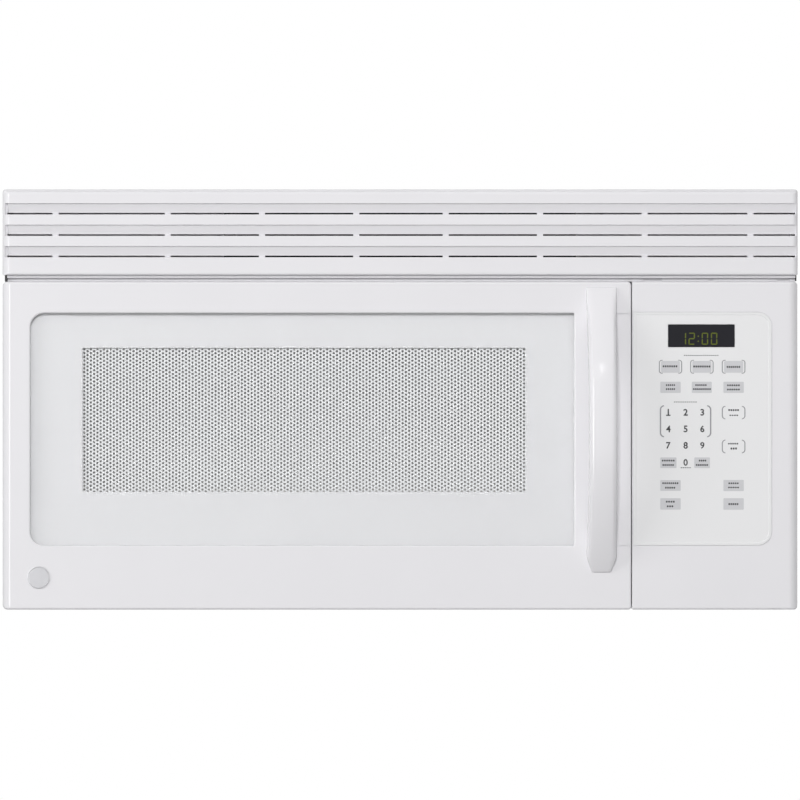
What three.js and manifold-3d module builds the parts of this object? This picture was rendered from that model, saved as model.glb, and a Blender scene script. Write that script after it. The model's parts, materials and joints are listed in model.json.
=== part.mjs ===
// Over the range microwave: oven, cooktop hood and lamp in one wall-hung case.
// Millimetres. +X to the right seen from the front, the front faces -Y, +Z up.
// The pieces are laid out from the wall (y = 0) and from the underside (z = 0),
// and the whole is then moved so that the origin is the middle of the wall plate's rear face.

import * as THREE from 'three';
import { mergeVertices } from 'three/addons/utils/BufferGeometryUtils.js';
import Module from 'manifold-3d';

const wasm = await Module();
wasm.setup();

// ---------------------------------------------------------------- driving dimensions

// Clearances
const seat = 0.3; // between pieces that rest on each other
const sealGap = 3; // door and front plate
const doorBottomGap = 1.2; // underside of door and panel above the base
const panelGap = 1.2; // between door and control panel
const grilleGap = 6.3; // between door top and grille

// Body and sheets
const bodyWidth = 759;
const bodyHeight = 402;
const caseDepth = 336.7;
const caseInset = 1.5; // case side and top inside the front's outline
const caseSheet = 1.2;
const caseCorner = 3;
const wallPlateSheet = 1.5;
const wallPlateInset = 19.5; // body's sides to wall plate
const wallPlateDrop = 23; // body's top and base to wall plate
const wallPlateRim = 34;
const wallPlateRib = 14;
const wallPlateColumns = 8;
const wallPlateRows = 4;
const wallPlateCorner = 6;
const hookWidth = 60;
const hookInset = 120; // wall plate's ends to the hooks' middles
const hookReach = 8;
const hookLip = 12;
const hookSheet = 2.5;
const hookSlack = 0.6; // around the wall plate's hooks in the rear panel's slots
const lagHoleRadius = 4;

// Cavity
const componentWidth = 204.6; // cavity's right side to the case's inside
const cavityHeadroom = 23.8; // cavity top to door top
const cavityDepth = 319.5;
const cavityFloor = 70; // above the underside
const cavitySideDuct = 24; // between case side and cavity liner
const cavitySheet = 1;

// Door
const doorThickness = 44;
const doorSkin = 4.5;
const doorWall = 3;
const doorFrontRound = 8;
const doorRearRound = 9; // concentric with the hinge pin
const doorEdgeRound = 3;
const doorCornerTop = 7;
const doorCornerBottom = 4;
const windowLeft = 27.1; // door edge to window opening
const windowRight = 54.7; // window opening to the door's right edge
const windowBottom = 61; // door bottom to window opening
const windowTop = 30.1; // window opening to the door's top
const windowCorner = 13.4;
const windowCornerRight = 1;
const glassLap = 8;
const glassThickness = 3.2;
const screenDepth = 7; // glass to perforated screen
const screenSheet = 1.2;
const screenFlange = 25;
const screenMargin = 4; // flanges outside the window opening, less than the glass lap
const screenReach = 22; // pan above and below the window
const chokeThickness = 3;
const chokeMouth = 20; // choke cover laps the cavity mouth by this much

// Hinge
const pinRadius = 3;
const pinLength = 10;
const pinSlack = 0.4;
const leafThickness = 2.5;
const leafHalf = 6;
const leafFlange = 19;
const leafRise = 1.3; // clearance of the leaves above or below the door
const bossWidth = 22;
const bossHeight = 13;

// Handle
const handleWidth = 24;
const handleCentre = 27.5; // door's right edge to the handle's middle
const handleTop = 5.6; // door top to the handle's upper end
const handleBottom = 36; // door bottom to the handle's lower end
const handleReach = 39; // door face to the handle's crown
const gripLength = 200;
const gripReach = 25;
const handleBevel = 4;
const handleScrewInset = 15;
const screwShank = 1.6;
const screwHead = 4;
const screwHeadHeight = 2.6;
const screwSlack = 0.4;
const handleScrewLength = 20;

// Badge
const badgeRadius = 10.5;
const badgeThickness = 0.8;
const badgeInset = 35.7; // door's left edge to badge middle
const badgeHeight = 30; // door bottom to badge middle

// Latch
const latchBarWidth = 10;
const latchBarDepth = 17;
const latchBarInset = 14; // door's right edge to the middle of the bar
const latchBarBottom = 90; // door bottom to bar
const latchBarTop = 32.6; // bar to door top
const latchHookInset = 25; // bar's ends to the hooks' middles
const hookThickness = 4;
const hookHeight = 10;
const hookNose = 4;
const hookNoseLength = 6;
const hookLength = 24; // past the rear of the bar
const latchTravel = 4;
const latchSwingRoom = 2.6; // to each side of a hook in its slots
const springRadius = 4;
const springWire = 1.2;
const springLength = 34;

// Control panel
const panelWidth = 157.8;
const panelSkin = 3;
const panelCorner = 4;
const panelCornerLeft = 1;
const overlayRight = 25.6; // overlay to the panel's right edge
const overlayTop = 29.2; // overlay to the panel's top
const overlayBottom = 61.5; // panel bottom to overlay
const overlayCorner = 13;
const overlayThickness = 1.2;
const overlayRecess = 0.8;
const displayLeft = 32.8; // overlay's left edge to display
const displayWidth = 64;
const displayHeight = 22;
const displayDrop = 11.4; // overlay's top edge to display
const displayLap = 2.5;
const boardSide = 16.9; // panel's inner sides to the board
const boardEnd = 8.5; // overlay's ends to the board's ends
const boardThickness = 1.6;
const postLength = 8;
const postRadius = 4;
const relayWidth = 18;
const relayHeight = 24;
const relayDepth = 16;
const relayUp = 40; // board's lower end to the relays' middles

// Top grille
const grilleHeight = 81.9;
const grilleDepthSkin = 6.5;
const grilleWall = 2.5;
const grilleTopWall = 4;
const grilleTopRound = 5;
const grilleLowRound = 2;
const louvrePitch = 20.4;
const louvreHeight = 10.6;
const louvreDepth = 4;
const louvreStep = 0.6;
const louvreTopDrop = 13.6; // grille top to the first louvre
const slitHeight = 1.2;
const slitRib = 5.8;
const slitEnd = 4.5;
const slitRibs = [-0.866, -0.584, -0.347, -0.11, 0.115, 0.352, 0.615, 0.881]; // shares of the half width
const grilleScrewInset = 129.5; // grille's ends to its screws
const grilleTab = 20;
const grilleTabSheet = 1.2;
const grilleTabReach = 18;
const grilleScrewLength = 8;
const countersink = 1.8;

// Hood air
const airMouthInset = 209.5; // body's sides to the air mouth
const airMouthHeight = 66;
const filterLedge = 13;
const charcoalThickness = 10;
const exhaustWidth = 254;
const exhaustDepth = 83;
const exhaustInset = 18; // rear panel to port
const blowerWheelRadius = 36;
const blowerWheelWidth = 60;
const blowerMotorRadius = 34;
const blowerMotorWidth = 72;
const blowerShaft = 4;
const scrollSheet = 1.6;
const scrollWidth = 76;
const scrollDepth = 104;
const scrollInlet = 27;
const blowerBladePairs = 5;
const blowerBladeDepth = 6;
const blowerBladeGap = 14; // width of the openings between the blades
const blowerHoop = 3; // width of each wheel's hoops and disc
const blowerFoot = 10;

// Grease filters and cooktop lamp, in the base
const greaseWidth = 170;
const greaseLength = 160;
const greaseThickness = 6;
const greaseFrame = 9;
const greaseMesh = 1.6;
const greaseMeshUp = 4.1; // frame's underside to mesh
const greaseLap = 5; // rests on the base at the front and the rear
const greaseInset = 179.5; // body's sides to the filters' middles
const greaseMiddle = 100; // behind the case's front edge
const lampCoverWidth = 96;
const lampCoverLength = 76;
const lampMiddle = 100; // behind the case's front edge
const lampScrewHead = 1.6;
const lampScrewHold = 5;
const lampSocketDepth = 26;
const lampSocketHeight = 34;
const bulbRadius = 12;
const bulbLength = 50;
const bulbCap = 7;
const bulbCapOut = 4; // cap in front of the socket's face

// Turntable
const trayRadius = 152.5;
const trayFlat = 132;
const trayThickness = 5;
const trayRim = 12;
const rollerRadius = 7.5;
const rollerWidth = 6;
const rollerTrack = 95;
const rollerBore = 1.8;
const rollerAxle = 1.5;
const ringWidth = 8;
const ringHeight = 5;
const couplerShaft = 3;
const couplerHub = 7;
const couplerWing = 20;
const couplerWingWidth = 6;
const couplerEngage = 7; // height of the wings under the tray
const driveLugRadius = 2.5;
const driveLugTrack = 15;
const motorRadius = 25;
const motorHeight = 15;
const motorSocket = 8;
const motorEar = 11;
const motorEarWidth = 12;
const motorEarSheet = 1.5;

// Microwave power
const guideWidth = 100;
const guideHeight = 70;
const guideDepth = 30;
const guideMiddleBack = 155; // behind the case's front edge
const guideMiddleUp = 150; // above the cavity floor
const guideSheet = 1.2;
const feedWidth = 80;
const feedHeight = 42;
const micaThickness = 0.8;
const micaLap = 6;
const antennaRadius = 10;
const antennaLength = 18;
const magnetronWidth = 84;
const magnetronDepth = 92;
const magnetronHeight = 80;
const finCount = 5;
const finSlot = 6;
const coreWidth = 110;
const coreStack = 62;
const coreHeight = 92;
const coreLimb = 18;
const windingGap = 1;
const windingRound = 9;
const coreGap = 4; // between transformer core and capacitor
const transformerBack = 225; // behind the case's front edge
const capacitorWidth = 34;
const capacitorDepth = 92;
const capacitorHeight = 54;
const capacitorSide = 9.8; // case's inside to capacitor
const capacitorBack = 150;
const capacitorRound = 12;
const terminalRadius = 3;
const terminalLength = 8;
const terminalSpread = 8; // capacitor's middle to the terminals
const fanBack = 282; // shroud behind the case's front edge
const fanSheet = 1.5;
const fanHole = 60;
const fanRadius = 54;
const fanHub = 14;
const fanHubLength = 11;
const fanBladeCount = 5;
const fanBladeChord = 30;
const fanBladeSheet = 2;
const fanBladePitch = 20; // degrees
const fanBarRib = 2; // motor's bar behind the shroud
const fanMotorRadius = 28;
const fanMotorLength = 26;
const fanShaft = 2.5;
const fanBar = 12;
const fanHeight = 165;
const switchLength = 28;
const switchWidth = 10;
const switchHeight = 16;
const plungerRadius = 1.5;
const plungerOut = 2.2;
const plungerTravel = 1.2;
const plungerBack = 8; // switch's front end to the plunger
const latchBoardDepth = 20;
const latchBoardWall = 2;
const latchBoardReach = 22; // hooks' middle to the board's right side
const latchBoardEnd = 30; // hooks' middles to the board's ends
const latchSlotTall = 3; // above and below the hooks' whole travel
const cavityLampSize = 24;
const glandRadius = 9.7;
const glandBore = 4.5;
const glandFlange = 13;
const glandFlangeHeight = 1.2;
const glandBarb = 11.5;
const glandGrip = 4; // barb below the case's top
const glandInset = 49.5; // body's right side to the gland's middle
const glandBack = 300;

const roundSteps = 5; // chords to each rounded corner
const turnSteps = 20; // chords to a full circle
const screwSteps = 12; // chords to screws, pins and their holes
const shaftSteps = 16; // chords to motor shafts and lamp caps

// ---------------------------------------------------------------- stations

const rearPanelRear = -wallPlateSheet - seat;
const rearPanelFront = rearPanelRear - caseSheet;
const caseFront = rearPanelRear - caseDepth;
const plateRear = caseFront - seat;
const plateFront = plateRear - caseSheet;
const doorRear = plateFront - sealGap;
const doorFront = doorRear - doorThickness;
const frontHalf = bodyWidth / 2;
const caseHalf = frontHalf - caseInset;
const caseInner = caseHalf - caseSheet;
const caseTop = bodyHeight - caseInset;
const caseCeiling = caseTop - caseSheet;
const insideFloor = caseSheet + seat;
const panelLeft = frontHalf - panelWidth;
const doorLeft = -frontHalf;
const doorRight = panelLeft - panelGap;
const doorBottom = doorBottomGap;
const grilleBottom = bodyHeight - grilleHeight;
const doorTop = grilleBottom - grilleGap;
const cavityLeft = -caseInner + cavitySideDuct + cavitySheet;
const cavityRight = caseInner - componentWidth;
const cavityTop = doorTop - cavityHeadroom;
const cavityRear = caseFront + cavityDepth;
const cavityMiddle = [(cavityLeft + cavityRight) / 2, (caseFront + cavityRear) / 2];
const roofTop = cavityTop + cavitySheet + seat;
const sideWall = cavityRight + cavitySheet + seat;
const floorUnder = cavityFloor - cavitySheet - seat;
const skinRear = doorFront + doorSkin;
const glassRear = skinRear + seat + glassThickness;
const screenFront = glassRear + screenDepth;
const chokeFront = doorRear - chokeThickness;
const window = {
  left: doorLeft + windowLeft,
  right: doorRight - windowRight,
  bottom: doorBottom + windowBottom,
  top: doorTop - windowTop,
};
const windowRadii = [windowCorner, windowCornerRight, windowCornerRight, windowCorner];
const pinAt = [doorLeft + doorRearRound, doorRear - doorRearRound];
const leafTop = doorTop + leafRise;
const notchTop = doorBottom + leafRise + leafThickness + leafRise;
const handleX = doorRight - handleCentre;
const handleFoot = doorBottom + handleBottom;
const handleLength = doorTop - handleTop - handleFoot;
const handleMiddle = handleFoot + handleLength / 2;
const handleScrewHeights = [handleFoot + handleScrewInset, handleFoot + handleLength - handleScrewInset];
const latchX = doorRight - latchBarInset;
const latchBottom = doorBottom + latchBarBottom;
const latchTop = doorTop - latchBarTop;
const latchHeights = [latchBottom + latchHookInset, latchTop - latchHookInset];
const lampX = 0;
const lampY = caseFront + lampMiddle;
const greaseY = caseFront + greaseMiddle;
const guideY = caseFront + guideMiddleBack;
const guideZ = cavityFloor + guideMiddleUp;
const guideOuter = sideWall + guideDepth;
const fanY = caseFront + fanBack;
const fanX = (sideWall + caseInner) / 2;
const fanBarRear = fanY + fanSheet + fanBarRib;
const blowerZ = (roofTop + caseCeiling) / 2;
const blowerY = rearPanelFront - seat - scrollDepth / 2 - blowerFoot;
const wheelOffset = blowerMotorWidth / 2 + scrollWidth / 2 + windingGap;

// ---------------------------------------------------------------- solids

const HALF_TURN = Math.PI;
const QUARTER_TURN = Math.PI / 2;

function solidFrom(geometry) {
  const bare = geometry.clone();
  bare.deleteAttribute('normal');
  bare.deleteAttribute('uv');
  const merged = mergeVertices(bare, 1e-4);
  const corners = Array.from(merged.index.array);
  const triVerts = [];
  for (let i = 0; i < corners.length; i += 3) {
    const [a, b, c] = corners.slice(i, i + 3);
    if (a !== b && b !== c && c !== a) triVerts.push(a, b, c);
  }
  const vertProperties = new Float32Array(merged.attributes.position.array);
  const faces = new Uint32Array(triVerts);
  return new wasm.Manifold(new wasm.Mesh({ numProp: 3, vertProperties, triVerts: faces }));
}

function geometryFrom(solid) {
  const mesh = solid.getMesh();
  const geometry = new THREE.BufferGeometry();
  geometry.setAttribute('position', new THREE.BufferAttribute(new Float32Array(mesh.vertProperties), 3));
  geometry.setIndex(new THREE.BufferAttribute(new Uint32Array(mesh.triVerts), 1));
  return geometry;
}

const span = (middle, size) => [middle - size / 2, middle + size / 2];
const joinAll = (solids) => solids.reduce((whole, solid) => whole.add(solid));
const cutAll = (body, solids) => solids.reduce((rest, solid) => rest.subtract(solid), body);

function block([x0, x1], [y0, y1], [z0, z1]) {
  const geometry = new THREE.BoxGeometry(x1 - x0, y1 - y0, z1 - z0);
  geometry.translate((x0 + x1) / 2, (y0 + y1) / 2, (z0 + z1) / 2);
  return solidFrom(geometry);
}

// Rounded rectangle; radii run counter-clockwise from the low-low corner.
function roundedOutline([u0, u1], [v0, v1], radii) {
  const [lowLow, highLow, highHigh, lowHigh] = radii;
  const shape = new THREE.Shape();
  shape.moveTo(u0 + lowLow, v0);
  shape.lineTo(u1 - highLow, v0);
  if (highLow) shape.absarc(u1 - highLow, v0 + highLow, highLow, -QUARTER_TURN, 0, false);
  shape.lineTo(u1, v1 - highHigh);
  if (highHigh) shape.absarc(u1 - highHigh, v1 - highHigh, highHigh, 0, QUARTER_TURN, false);
  shape.lineTo(u0 + lowHigh, v1);
  if (lowHigh) shape.absarc(u0 + lowHigh, v1 - lowHigh, lowHigh, QUARTER_TURN, HALF_TURN, false);
  shape.lineTo(u0, v0 + lowLow);
  if (lowLow) shape.absarc(u0 + lowLow, v0 + lowLow, lowLow, HALF_TURN, HALF_TURN + QUARTER_TURN, false);
  return shape;
}

function outlineThrough(points) {
  return new THREE.Shape(points.map(([u, v]) => new THREE.Vector2(u, v)));
}

function extruded(shape, depth) {
  return new THREE.ExtrudeGeometry(shape, { depth, bevelEnabled: false, curveSegments: roundSteps });
}

// Outline in x and z, carried along y.
function alongY(shape, [y0, y1]) {
  const geometry = extruded(shape, y1 - y0);
  geometry.rotateX(QUARTER_TURN);
  geometry.translate(0, y1, 0);
  return solidFrom(geometry);
}

// Turns an outline drawn in x and y, carried along z, into one in y and z, carried along x from a start.
function sideways(start) {
  return new THREE.Matrix4().set(0, 0, 1, start, 1, 0, 0, 0, 0, 1, 0, 0, 0, 0, 0, 1);
}

// Outline in y and z, carried along x.
function alongX(shape, [x0, x1]) {
  const geometry = extruded(shape, x1 - x0);
  geometry.applyMatrix4(sideways(x0));
  return solidFrom(geometry);
}

// Outline in x and y, carried along z.
function alongZ(shape, [z0, z1]) {
  const geometry = extruded(shape, z1 - z0);
  geometry.translate(0, 0, z0);
  return solidFrom(geometry);
}

// Round bar: its middle is given by the two coordinates across the axis, in x, y, z order.
function round(axis, radius, [from, to], [u, v], steps = turnSteps) {
  const geometry = new THREE.CylinderGeometry(radius, radius, to - from, steps);
  const middle = (from + to) / 2;
  if (axis === 'x') geometry.rotateZ(QUARTER_TURN).translate(middle, u, v);
  if (axis === 'y') geometry.translate(u, middle, v);
  if (axis === 'z') geometry.rotateX(QUARTER_TURN).translate(u, v, middle);
  return solidFrom(geometry);
}

// Turned piece about the z direction; the profile holds radius and height, running upwards.
function turned(profile, [x, y], steps = turnSteps) {
  const points = profile.map(([radius, height]) => new THREE.Vector2(radius, height));
  const geometry = new THREE.LatheGeometry(points, steps);
  geometry.rotateX(QUARTER_TURN).translate(x, y, 0);
  return solidFrom(geometry);
}

// Profile of a plain sleeve.
function sleeve(inner, outer, low, high) {
  return [[inner, low], [outer, low], [outer, high], [inner, high], [inner, low]];
}

// ---------------------------------------------------------------- wall plate, case and chassis

const wallPlateX = [-frontHalf + wallPlateInset, frontHalf - wallPlateInset];
const wallPlateZ = [wallPlateDrop, bodyHeight - wallPlateDrop];
const hookCentres = [wallPlateX[0] + hookInset, wallPlateX[1] - hookInset];

function wallPlate() {
  const corners = [wallPlateCorner, wallPlateCorner, wallPlateCorner, wallPlateCorner];
  const plate = [-wallPlateSheet, 0];
  const insideX = grow(wallPlateX, -wallPlateRim);
  const insideZ = grow(wallPlateZ, -wallPlateRim);
  const pitchX = (insideX[1] - insideX[0] + wallPlateRib) / wallPlateColumns;
  const pitchZ = (insideZ[1] - insideZ[0] + wallPlateRib) / wallPlateRows;
  const windows = [];
  for (let column = 0; column < wallPlateColumns; column += 1) {
    for (let row = 0; row < wallPlateRows; row += 1) {
      const left = insideX[0] + column * pitchX;
      const low = insideZ[0] + row * pitchZ;
      const width = [left, left + pitchX - wallPlateRib];
      windows.push(block(width, grow(plate, 1), [low, low + pitchZ - wallPlateRib]));
    }
  }
  const holes = [];
  for (const x of hookCentres) {
    for (const side of [-1, 1]) {
      const z = side < 0 ? wallPlateZ[0] + wallPlateRim / 2 : wallPlateZ[1] - wallPlateRim / 2;
      holes.push(round('y', lagHoleRadius, grow(plate, 1), [x + side * hookWidth, z], screwSteps));
    }
  }
  const hooks = hookCentres.map((x) => {
    const armDepth = [-hookReach, -wallPlateSheet / 2];
    const arm = block(span(x, hookWidth), armDepth, [wallPlateZ[0], wallPlateZ[0] + hookSheet]);
    const lip = [-hookReach, -hookReach + wallPlateSheet];
    return arm.add(block(span(x, hookWidth), lip, [wallPlateZ[0], wallPlateZ[0] + hookLip]));
  });
  const sheet = alongY(roundedOutline(wallPlateX, wallPlateZ, corners), plate);
  return joinAll([cutAll(sheet, [...windows, ...holes]), ...hooks]);
}

function outerCase() {
  const outer = roundedOutline([-caseHalf, caseHalf], [0, caseTop], [0, 0, caseCorner, caseCorner]);
  const inner = block([-caseInner, caseInner], [caseFront - 1, rearPanelRear + 1], [-1, caseCeiling]);
  const port = block(span(0, exhaustWidth), exhaustSpan, [caseCeiling - 1, caseTop + 1]);
  const glandHole = round('z', glandRadius + seat, [caseCeiling - 1, caseTop + 1], glandAt);
  return cutAll(alongY(outer, [caseFront, rearPanelRear]), [inner, port, glandHole]);
}

function rearPanel() {
  const panel = block(
    [-caseInner + seat, caseInner - seat],
    [rearPanelFront, rearPanelRear],
    [0, caseCeiling - seat],
  );
  const slots = hookCentres.map((x) => block(
    span(x, hookWidth + 2 * hookSlack),
    [rearPanelFront - 1, rearPanelRear + 1],
    [wallPlateZ[0] - hookSlack, wallPlateZ[0] + hookLip + hookSlack],
  ));
  return cutAll(panel, slots);
}

const greaseCentres = [-frontHalf + greaseInset, frontHalf - greaseInset];
const glandAt = [frontHalf - glandInset, caseFront + glandBack];
const airMouth = [-frontHalf + airMouthInset, frontHalf - airMouthInset];

function basePanel() {
  const depth = [caseFront, rearPanelFront - seat];
  const panel = block([-caseInner + seat, caseInner - seat], depth, [0, caseSheet]);
  const through = [-1, caseSheet + 1];
  const filterHoles = greaseCentres.map((x) => block(
    span(x, greaseWidth + 2 * seat),
    span(greaseY, greaseLength - 2 * greaseLap),
    through,
  ));
  const lampHole = block(span(lampX, lampCoverWidth), span(lampY, lampCoverLength), through);
  return cutAll(panel, [...filterHoles, lampHole]);
}

function frontPlate() {
  const plate = [plateFront, plateRear];
  const through = [plateFront - 1, plateRear + 1];
  const sheet = block([-caseHalf, caseHalf], plate, [0, caseTop]);
  const mouth = block([cavityLeft, cavityRight], through, [cavityFloor, cavityTop]);
  const wiringWidth = [panelLeft + 2 * doorWall, caseInner - 2 * doorWall];
  const compartment = block(wiringWidth, through, [cavityFloor, cavityTop]);
  const airHole = block(airMouth, through, airMouthSpan);
  const latchSlots = latchHeights.map((z) => latchSlot(z, through));
  const ledge = block(
    grow(airMouth, filterLedge),
    [plateFront, plateRear + filterLedge],
    [airMouthSpan[0] - caseSheet, airMouthSpan[0]],
  );
  const tabs = grilleTabCentres.map((x) => block(
    span(x, grilleTab),
    [plateFront - grilleTabReach, plateRear],
    grilleTabSpan,
  ));
  const tabHoles = grilleTabCentres.map((x) => (
    round('z', screwShank + screwSlack, grow(grilleTabSpan, 1), [x, grilleScrewY], screwSteps)
  ));
  return cutAll(joinAll([sheet, ledge, ...tabs]), [mouth, compartment, airHole, ...latchSlots, ...tabHoles]);
}

// Slot for one latch hook, with room for its lift and for the arc it swings through.
function latchSlot(z, depth) {
  const low = z - hookHeight / 2 - hookNose - latchSlotTall;
  const high = z + hookHeight / 2 + latchTravel + latchSlotTall;
  return block(span(latchX, hookThickness + 2 * latchSwingRoom), depth, [low, high]);
}

const airMouthSpan = [grilleBottom + grilleWall + seat, grilleBottom + grilleWall + seat + airMouthHeight];
const grilleTabCentres = [-frontHalf + grilleScrewInset, frontHalf - grilleScrewInset];
const grilleTabSpan = [bodyHeight - grilleTopWall - seat - grilleTabSheet, bodyHeight - grilleTopWall - seat];
const grilleScrewY = plateFront - grilleTabReach / 2;

function cavityLiner() {
  const outer = block(
    [cavityLeft - cavitySheet, cavityRight + cavitySheet],
    [caseFront, cavityRear + cavitySheet],
    [cavityFloor - cavitySheet, cavityTop + cavitySheet],
  );
  const inner = block([cavityLeft, cavityRight], [caseFront - 1, cavityRear], [cavityFloor, cavityTop]);
  const feed = block([cavityRight - 1, sideWall], span(guideY, feedWidth), span(guideZ, feedHeight));
  const shaftHole = round('z', couplerShaft + 2, [floorUnder, cavityFloor + 1], cavityMiddle);
  const lampHole = round('z', cavityLampSize / 3, [cavityTop - 1, roofTop], cavityLampAt);
  return cutAll(outer, [inner, feed, shaftHole, lampHole]);
}

const cavityLampAt = [(cavityLeft + cavityMiddle[0]) / 2, cavityMiddle[1]];

function cavityLamp() {
  const body = block(
    span(cavityLampAt[0], cavityLampSize),
    span(cavityLampAt[1], cavityLampSize),
    [roofTop, roofTop + cavityLampSize],
  );
  const lens = round('z', cavityLampSize / 3 - 2 * seat, [cavityTop, roofTop + 1], cavityLampAt);
  return body.add(lens);
}

// ---------------------------------------------------------------- door

const doorInsideX = [doorLeft + doorWall, doorRight - doorWall];
const doorInsideZ = [doorBottom + doorWall, doorTop - doorWall];

// Blocks of plastic that hold the hinge pins, grown by a margin where another piece has to clear them.
function hingeBosses(margin) {
  const width = [doorLeft, doorLeft + bossWidth + margin];
  const depth = [skinRear - margin, doorRear + margin];
  return [
    block(width, depth, [doorBottom, notchTop + bossHeight + margin]),
    block(width, depth, [doorTop - bossHeight - margin, doorTop]),
  ];
}

// The door seen from above; its rear left corner turns about the hinge pin.
function doorPlan() {
  return roundedOutline(
    [doorLeft, doorRight],
    [doorFront, doorRear],
    [doorFrontRound, doorEdgeRound, 0, doorRearRound],
  );
}

function doorFrame() {
  const front = roundedOutline(
    [doorLeft, doorRight],
    [doorBottom, doorTop],
    [doorCornerBottom, doorEdgeRound, doorCornerTop, doorCornerBottom],
  );
  const side = roundedOutline(
    [doorFront, doorRear],
    [doorBottom, doorTop],
    [doorEdgeRound, 0, 0, doorEdgeRound],
  );
  const outer = alongY(front, [doorFront, doorRear])
    .intersect(alongZ(doorPlan(), [doorBottom, doorTop]))
    .intersect(alongX(side, [doorLeft, doorRight]));
  const screwBosses = handleScrewHeights.map((z) => (
    round('y', handleBossRadius, [skinRear - 1, handleScrewFace], [handleX, z], screwSteps)
  ));
  const hollow = cutAll(
    block(doorInsideX, [skinRear, doorRear + 1], doorInsideZ),
    [...hingeBosses(0), ...screwBosses],
  );
  const opening = alongY(
    roundedOutline([window.left, window.right], [window.bottom, window.top], windowRadii),
    [doorFront - 1, skinRear + 1],
  );
  const screwHoles = handleScrewHeights.map((z) => (
    round('y', screwShank + screwSlack, [doorFront - 1, handleScrewFace + 1], [handleX, z], screwSteps)
  ));
  const pinHole = pinRadius + pinSlack;
  const upperPinHole = round('z', pinHole, [doorTop - pinLength - 1, doorTop + 1], pinAt, screwSteps);
  const lowerPinHole = round('z', pinHole, [doorBottom, notchTop + pinLength], pinAt, screwSteps);
  const notch = block(
    [doorLeft - 1, pinAt[0] + leafHalf + leafRise],
    [pinAt[1] - leafHalf - sealGap, doorRear + 1],
    [doorBottom - 1, notchTop],
  );
  return cutAll(outer, [hollow, opening, ...screwHoles, upperPinHole, lowerPinHole, notch]);
}

const handleBossRadius = screwHead + 1;
const handleScrewFace = skinRear + handleBossLength();

function handleBossLength() {
  return screenDepth + glassThickness / 2;
}

function doorWindow() {
  const outline = roundedOutline(
    [window.left - glassLap, window.right + glassLap],
    [window.bottom - glassLap, window.top + glassLap],
    windowRadii,
  );
  return alongY(outline, [skinRear + seat, glassRear]);
}

// Steel pan behind the glass: its front flange clamps the glass, its rear flange is the choke's inner wall.
function doorScreen() {
  const width = [window.left - screenMargin, window.right + screenMargin];
  const clampHeight = [window.bottom - screenMargin, window.top + screenMargin];
  const panHeight = [window.bottom - screenReach, window.top + screenReach];
  const inset = ([from, to]) => [from + screenSheet, to - screenSheet];
  const sheet = [screenFront, screenFront + screenSheet];
  const rear = chokeFront - seat;
  const pan = block(width, [screenFront, rear], panHeight);
  const panHollow = block(inset(width), [sheet[1], rear + 1], inset(panHeight));
  const clamp = block(width, [glassRear + seat, screenFront + screenSheet], clampHeight);
  const clampHollow = block(inset(width), [glassRear, screenFront], inset(clampHeight));
  return cutAll(pan, [panHollow]).add(clamp).subtract(clampHollow);
}

function chokeCover() {
  const plate = block(
    [doorInsideX[0] + seat, doorInsideX[1] - seat],
    [chokeFront, doorRear],
    [doorInsideZ[0] + seat, doorInsideZ[1] - seat],
  );
  const mouth = block(
    [window.left + chokeMouth, window.right - chokeMouth],
    [chokeFront - 1, doorRear + 1],
    [cavityFloor + chokeMouth, cavityTop - chokeMouth],
  );
  const slots = latchHeights.map((z) => latchSlot(z, [chokeFront - 1, doorRear + 1]));
  const notchRoom = block(
    [doorLeft - 1, pinAt[0] + leafHalf + leafRise],
    [chokeFront - 1, doorRear + 1],
    [doorBottom - 1, notchTop],
  );
  const swept = plate.intersect(alongZ(doorPlan(), doorInsideZ));
  return cutAll(swept, [mouth, ...slots, notchRoom, ...hingeBosses(seat)]);
}

// Side view of the bow: an outer and an inner arc, both springing from the door's face.
function doorHandle() {
  const foot = doorFront - seat;
  const arcPoints = (length, reach, steps) => {
    const radius = (length * length / 4 + reach * reach) / (2 * reach);
    const half = Math.asin(length / 2 / radius);
    const points = [];
    for (let i = 0; i <= steps; i += 1) {
      const angle = -half + 2 * half * i / steps;
      const rise = radius * Math.cos(angle) - radius + reach;
      points.push([foot - rise, handleMiddle + radius * Math.sin(angle)]);
    }
    return points;
  };
  const crown = arcPoints(handleLength, handleReach, 20);
  const grip = arcPoints(gripLength, gripReach, 14).reverse();
  const width = handleWidth - 2 * handleBevel;
  const geometry = new THREE.ExtrudeGeometry(outlineThrough([...crown, ...grip]), {
    depth: width,
    bevelEnabled: true,
    bevelThickness: handleBevel,
    bevelSize: handleBevel,
    bevelOffset: -handleBevel,
    bevelSegments: 3,
  });
  geometry.applyMatrix4(sideways(handleX - width / 2));
  const feet = alongX(outlineThrough([...crown, ...grip]), span(handleX, width + handleBevel));
  const behindFace = [foot, foot + 2 * handleReach];
  const beyondDoor = block(span(handleX, 2 * handleWidth), behindFace, [handleFoot, doorTop]);
  const screwHoles = handleScrewHeights.map((z) => (
    round('y', screwShank + seat, [foot - handleScrewHold, foot + 1], [handleX, z], screwSteps)
  ));
  return cutAll(solidFrom(geometry).add(feet), [beyondDoor, ...screwHoles]);
}

const handleScrewHold = handleScrewLength - (handleScrewFace - doorFront) + 1;

function handleScrew(z) {
  const head = [handleScrewFace + seat, handleScrewFace + seat + screwHeadHeight];
  const shank = [handleScrewFace + seat - handleScrewLength, handleScrewFace + 1];
  return round('y', screwHead, head, [handleX, z], screwSteps)
    .add(round('y', screwShank, shank, [handleX, z], screwSteps));
}

function doorBadge() {
  const depth = [doorFront - seat - badgeThickness, doorFront - seat];
  return round('y', badgeRadius, depth, [doorLeft + badgeInset, doorBottom + badgeHeight], 2 * turnSteps);
}

const latchBarRear = chokeFront - seat;

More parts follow.
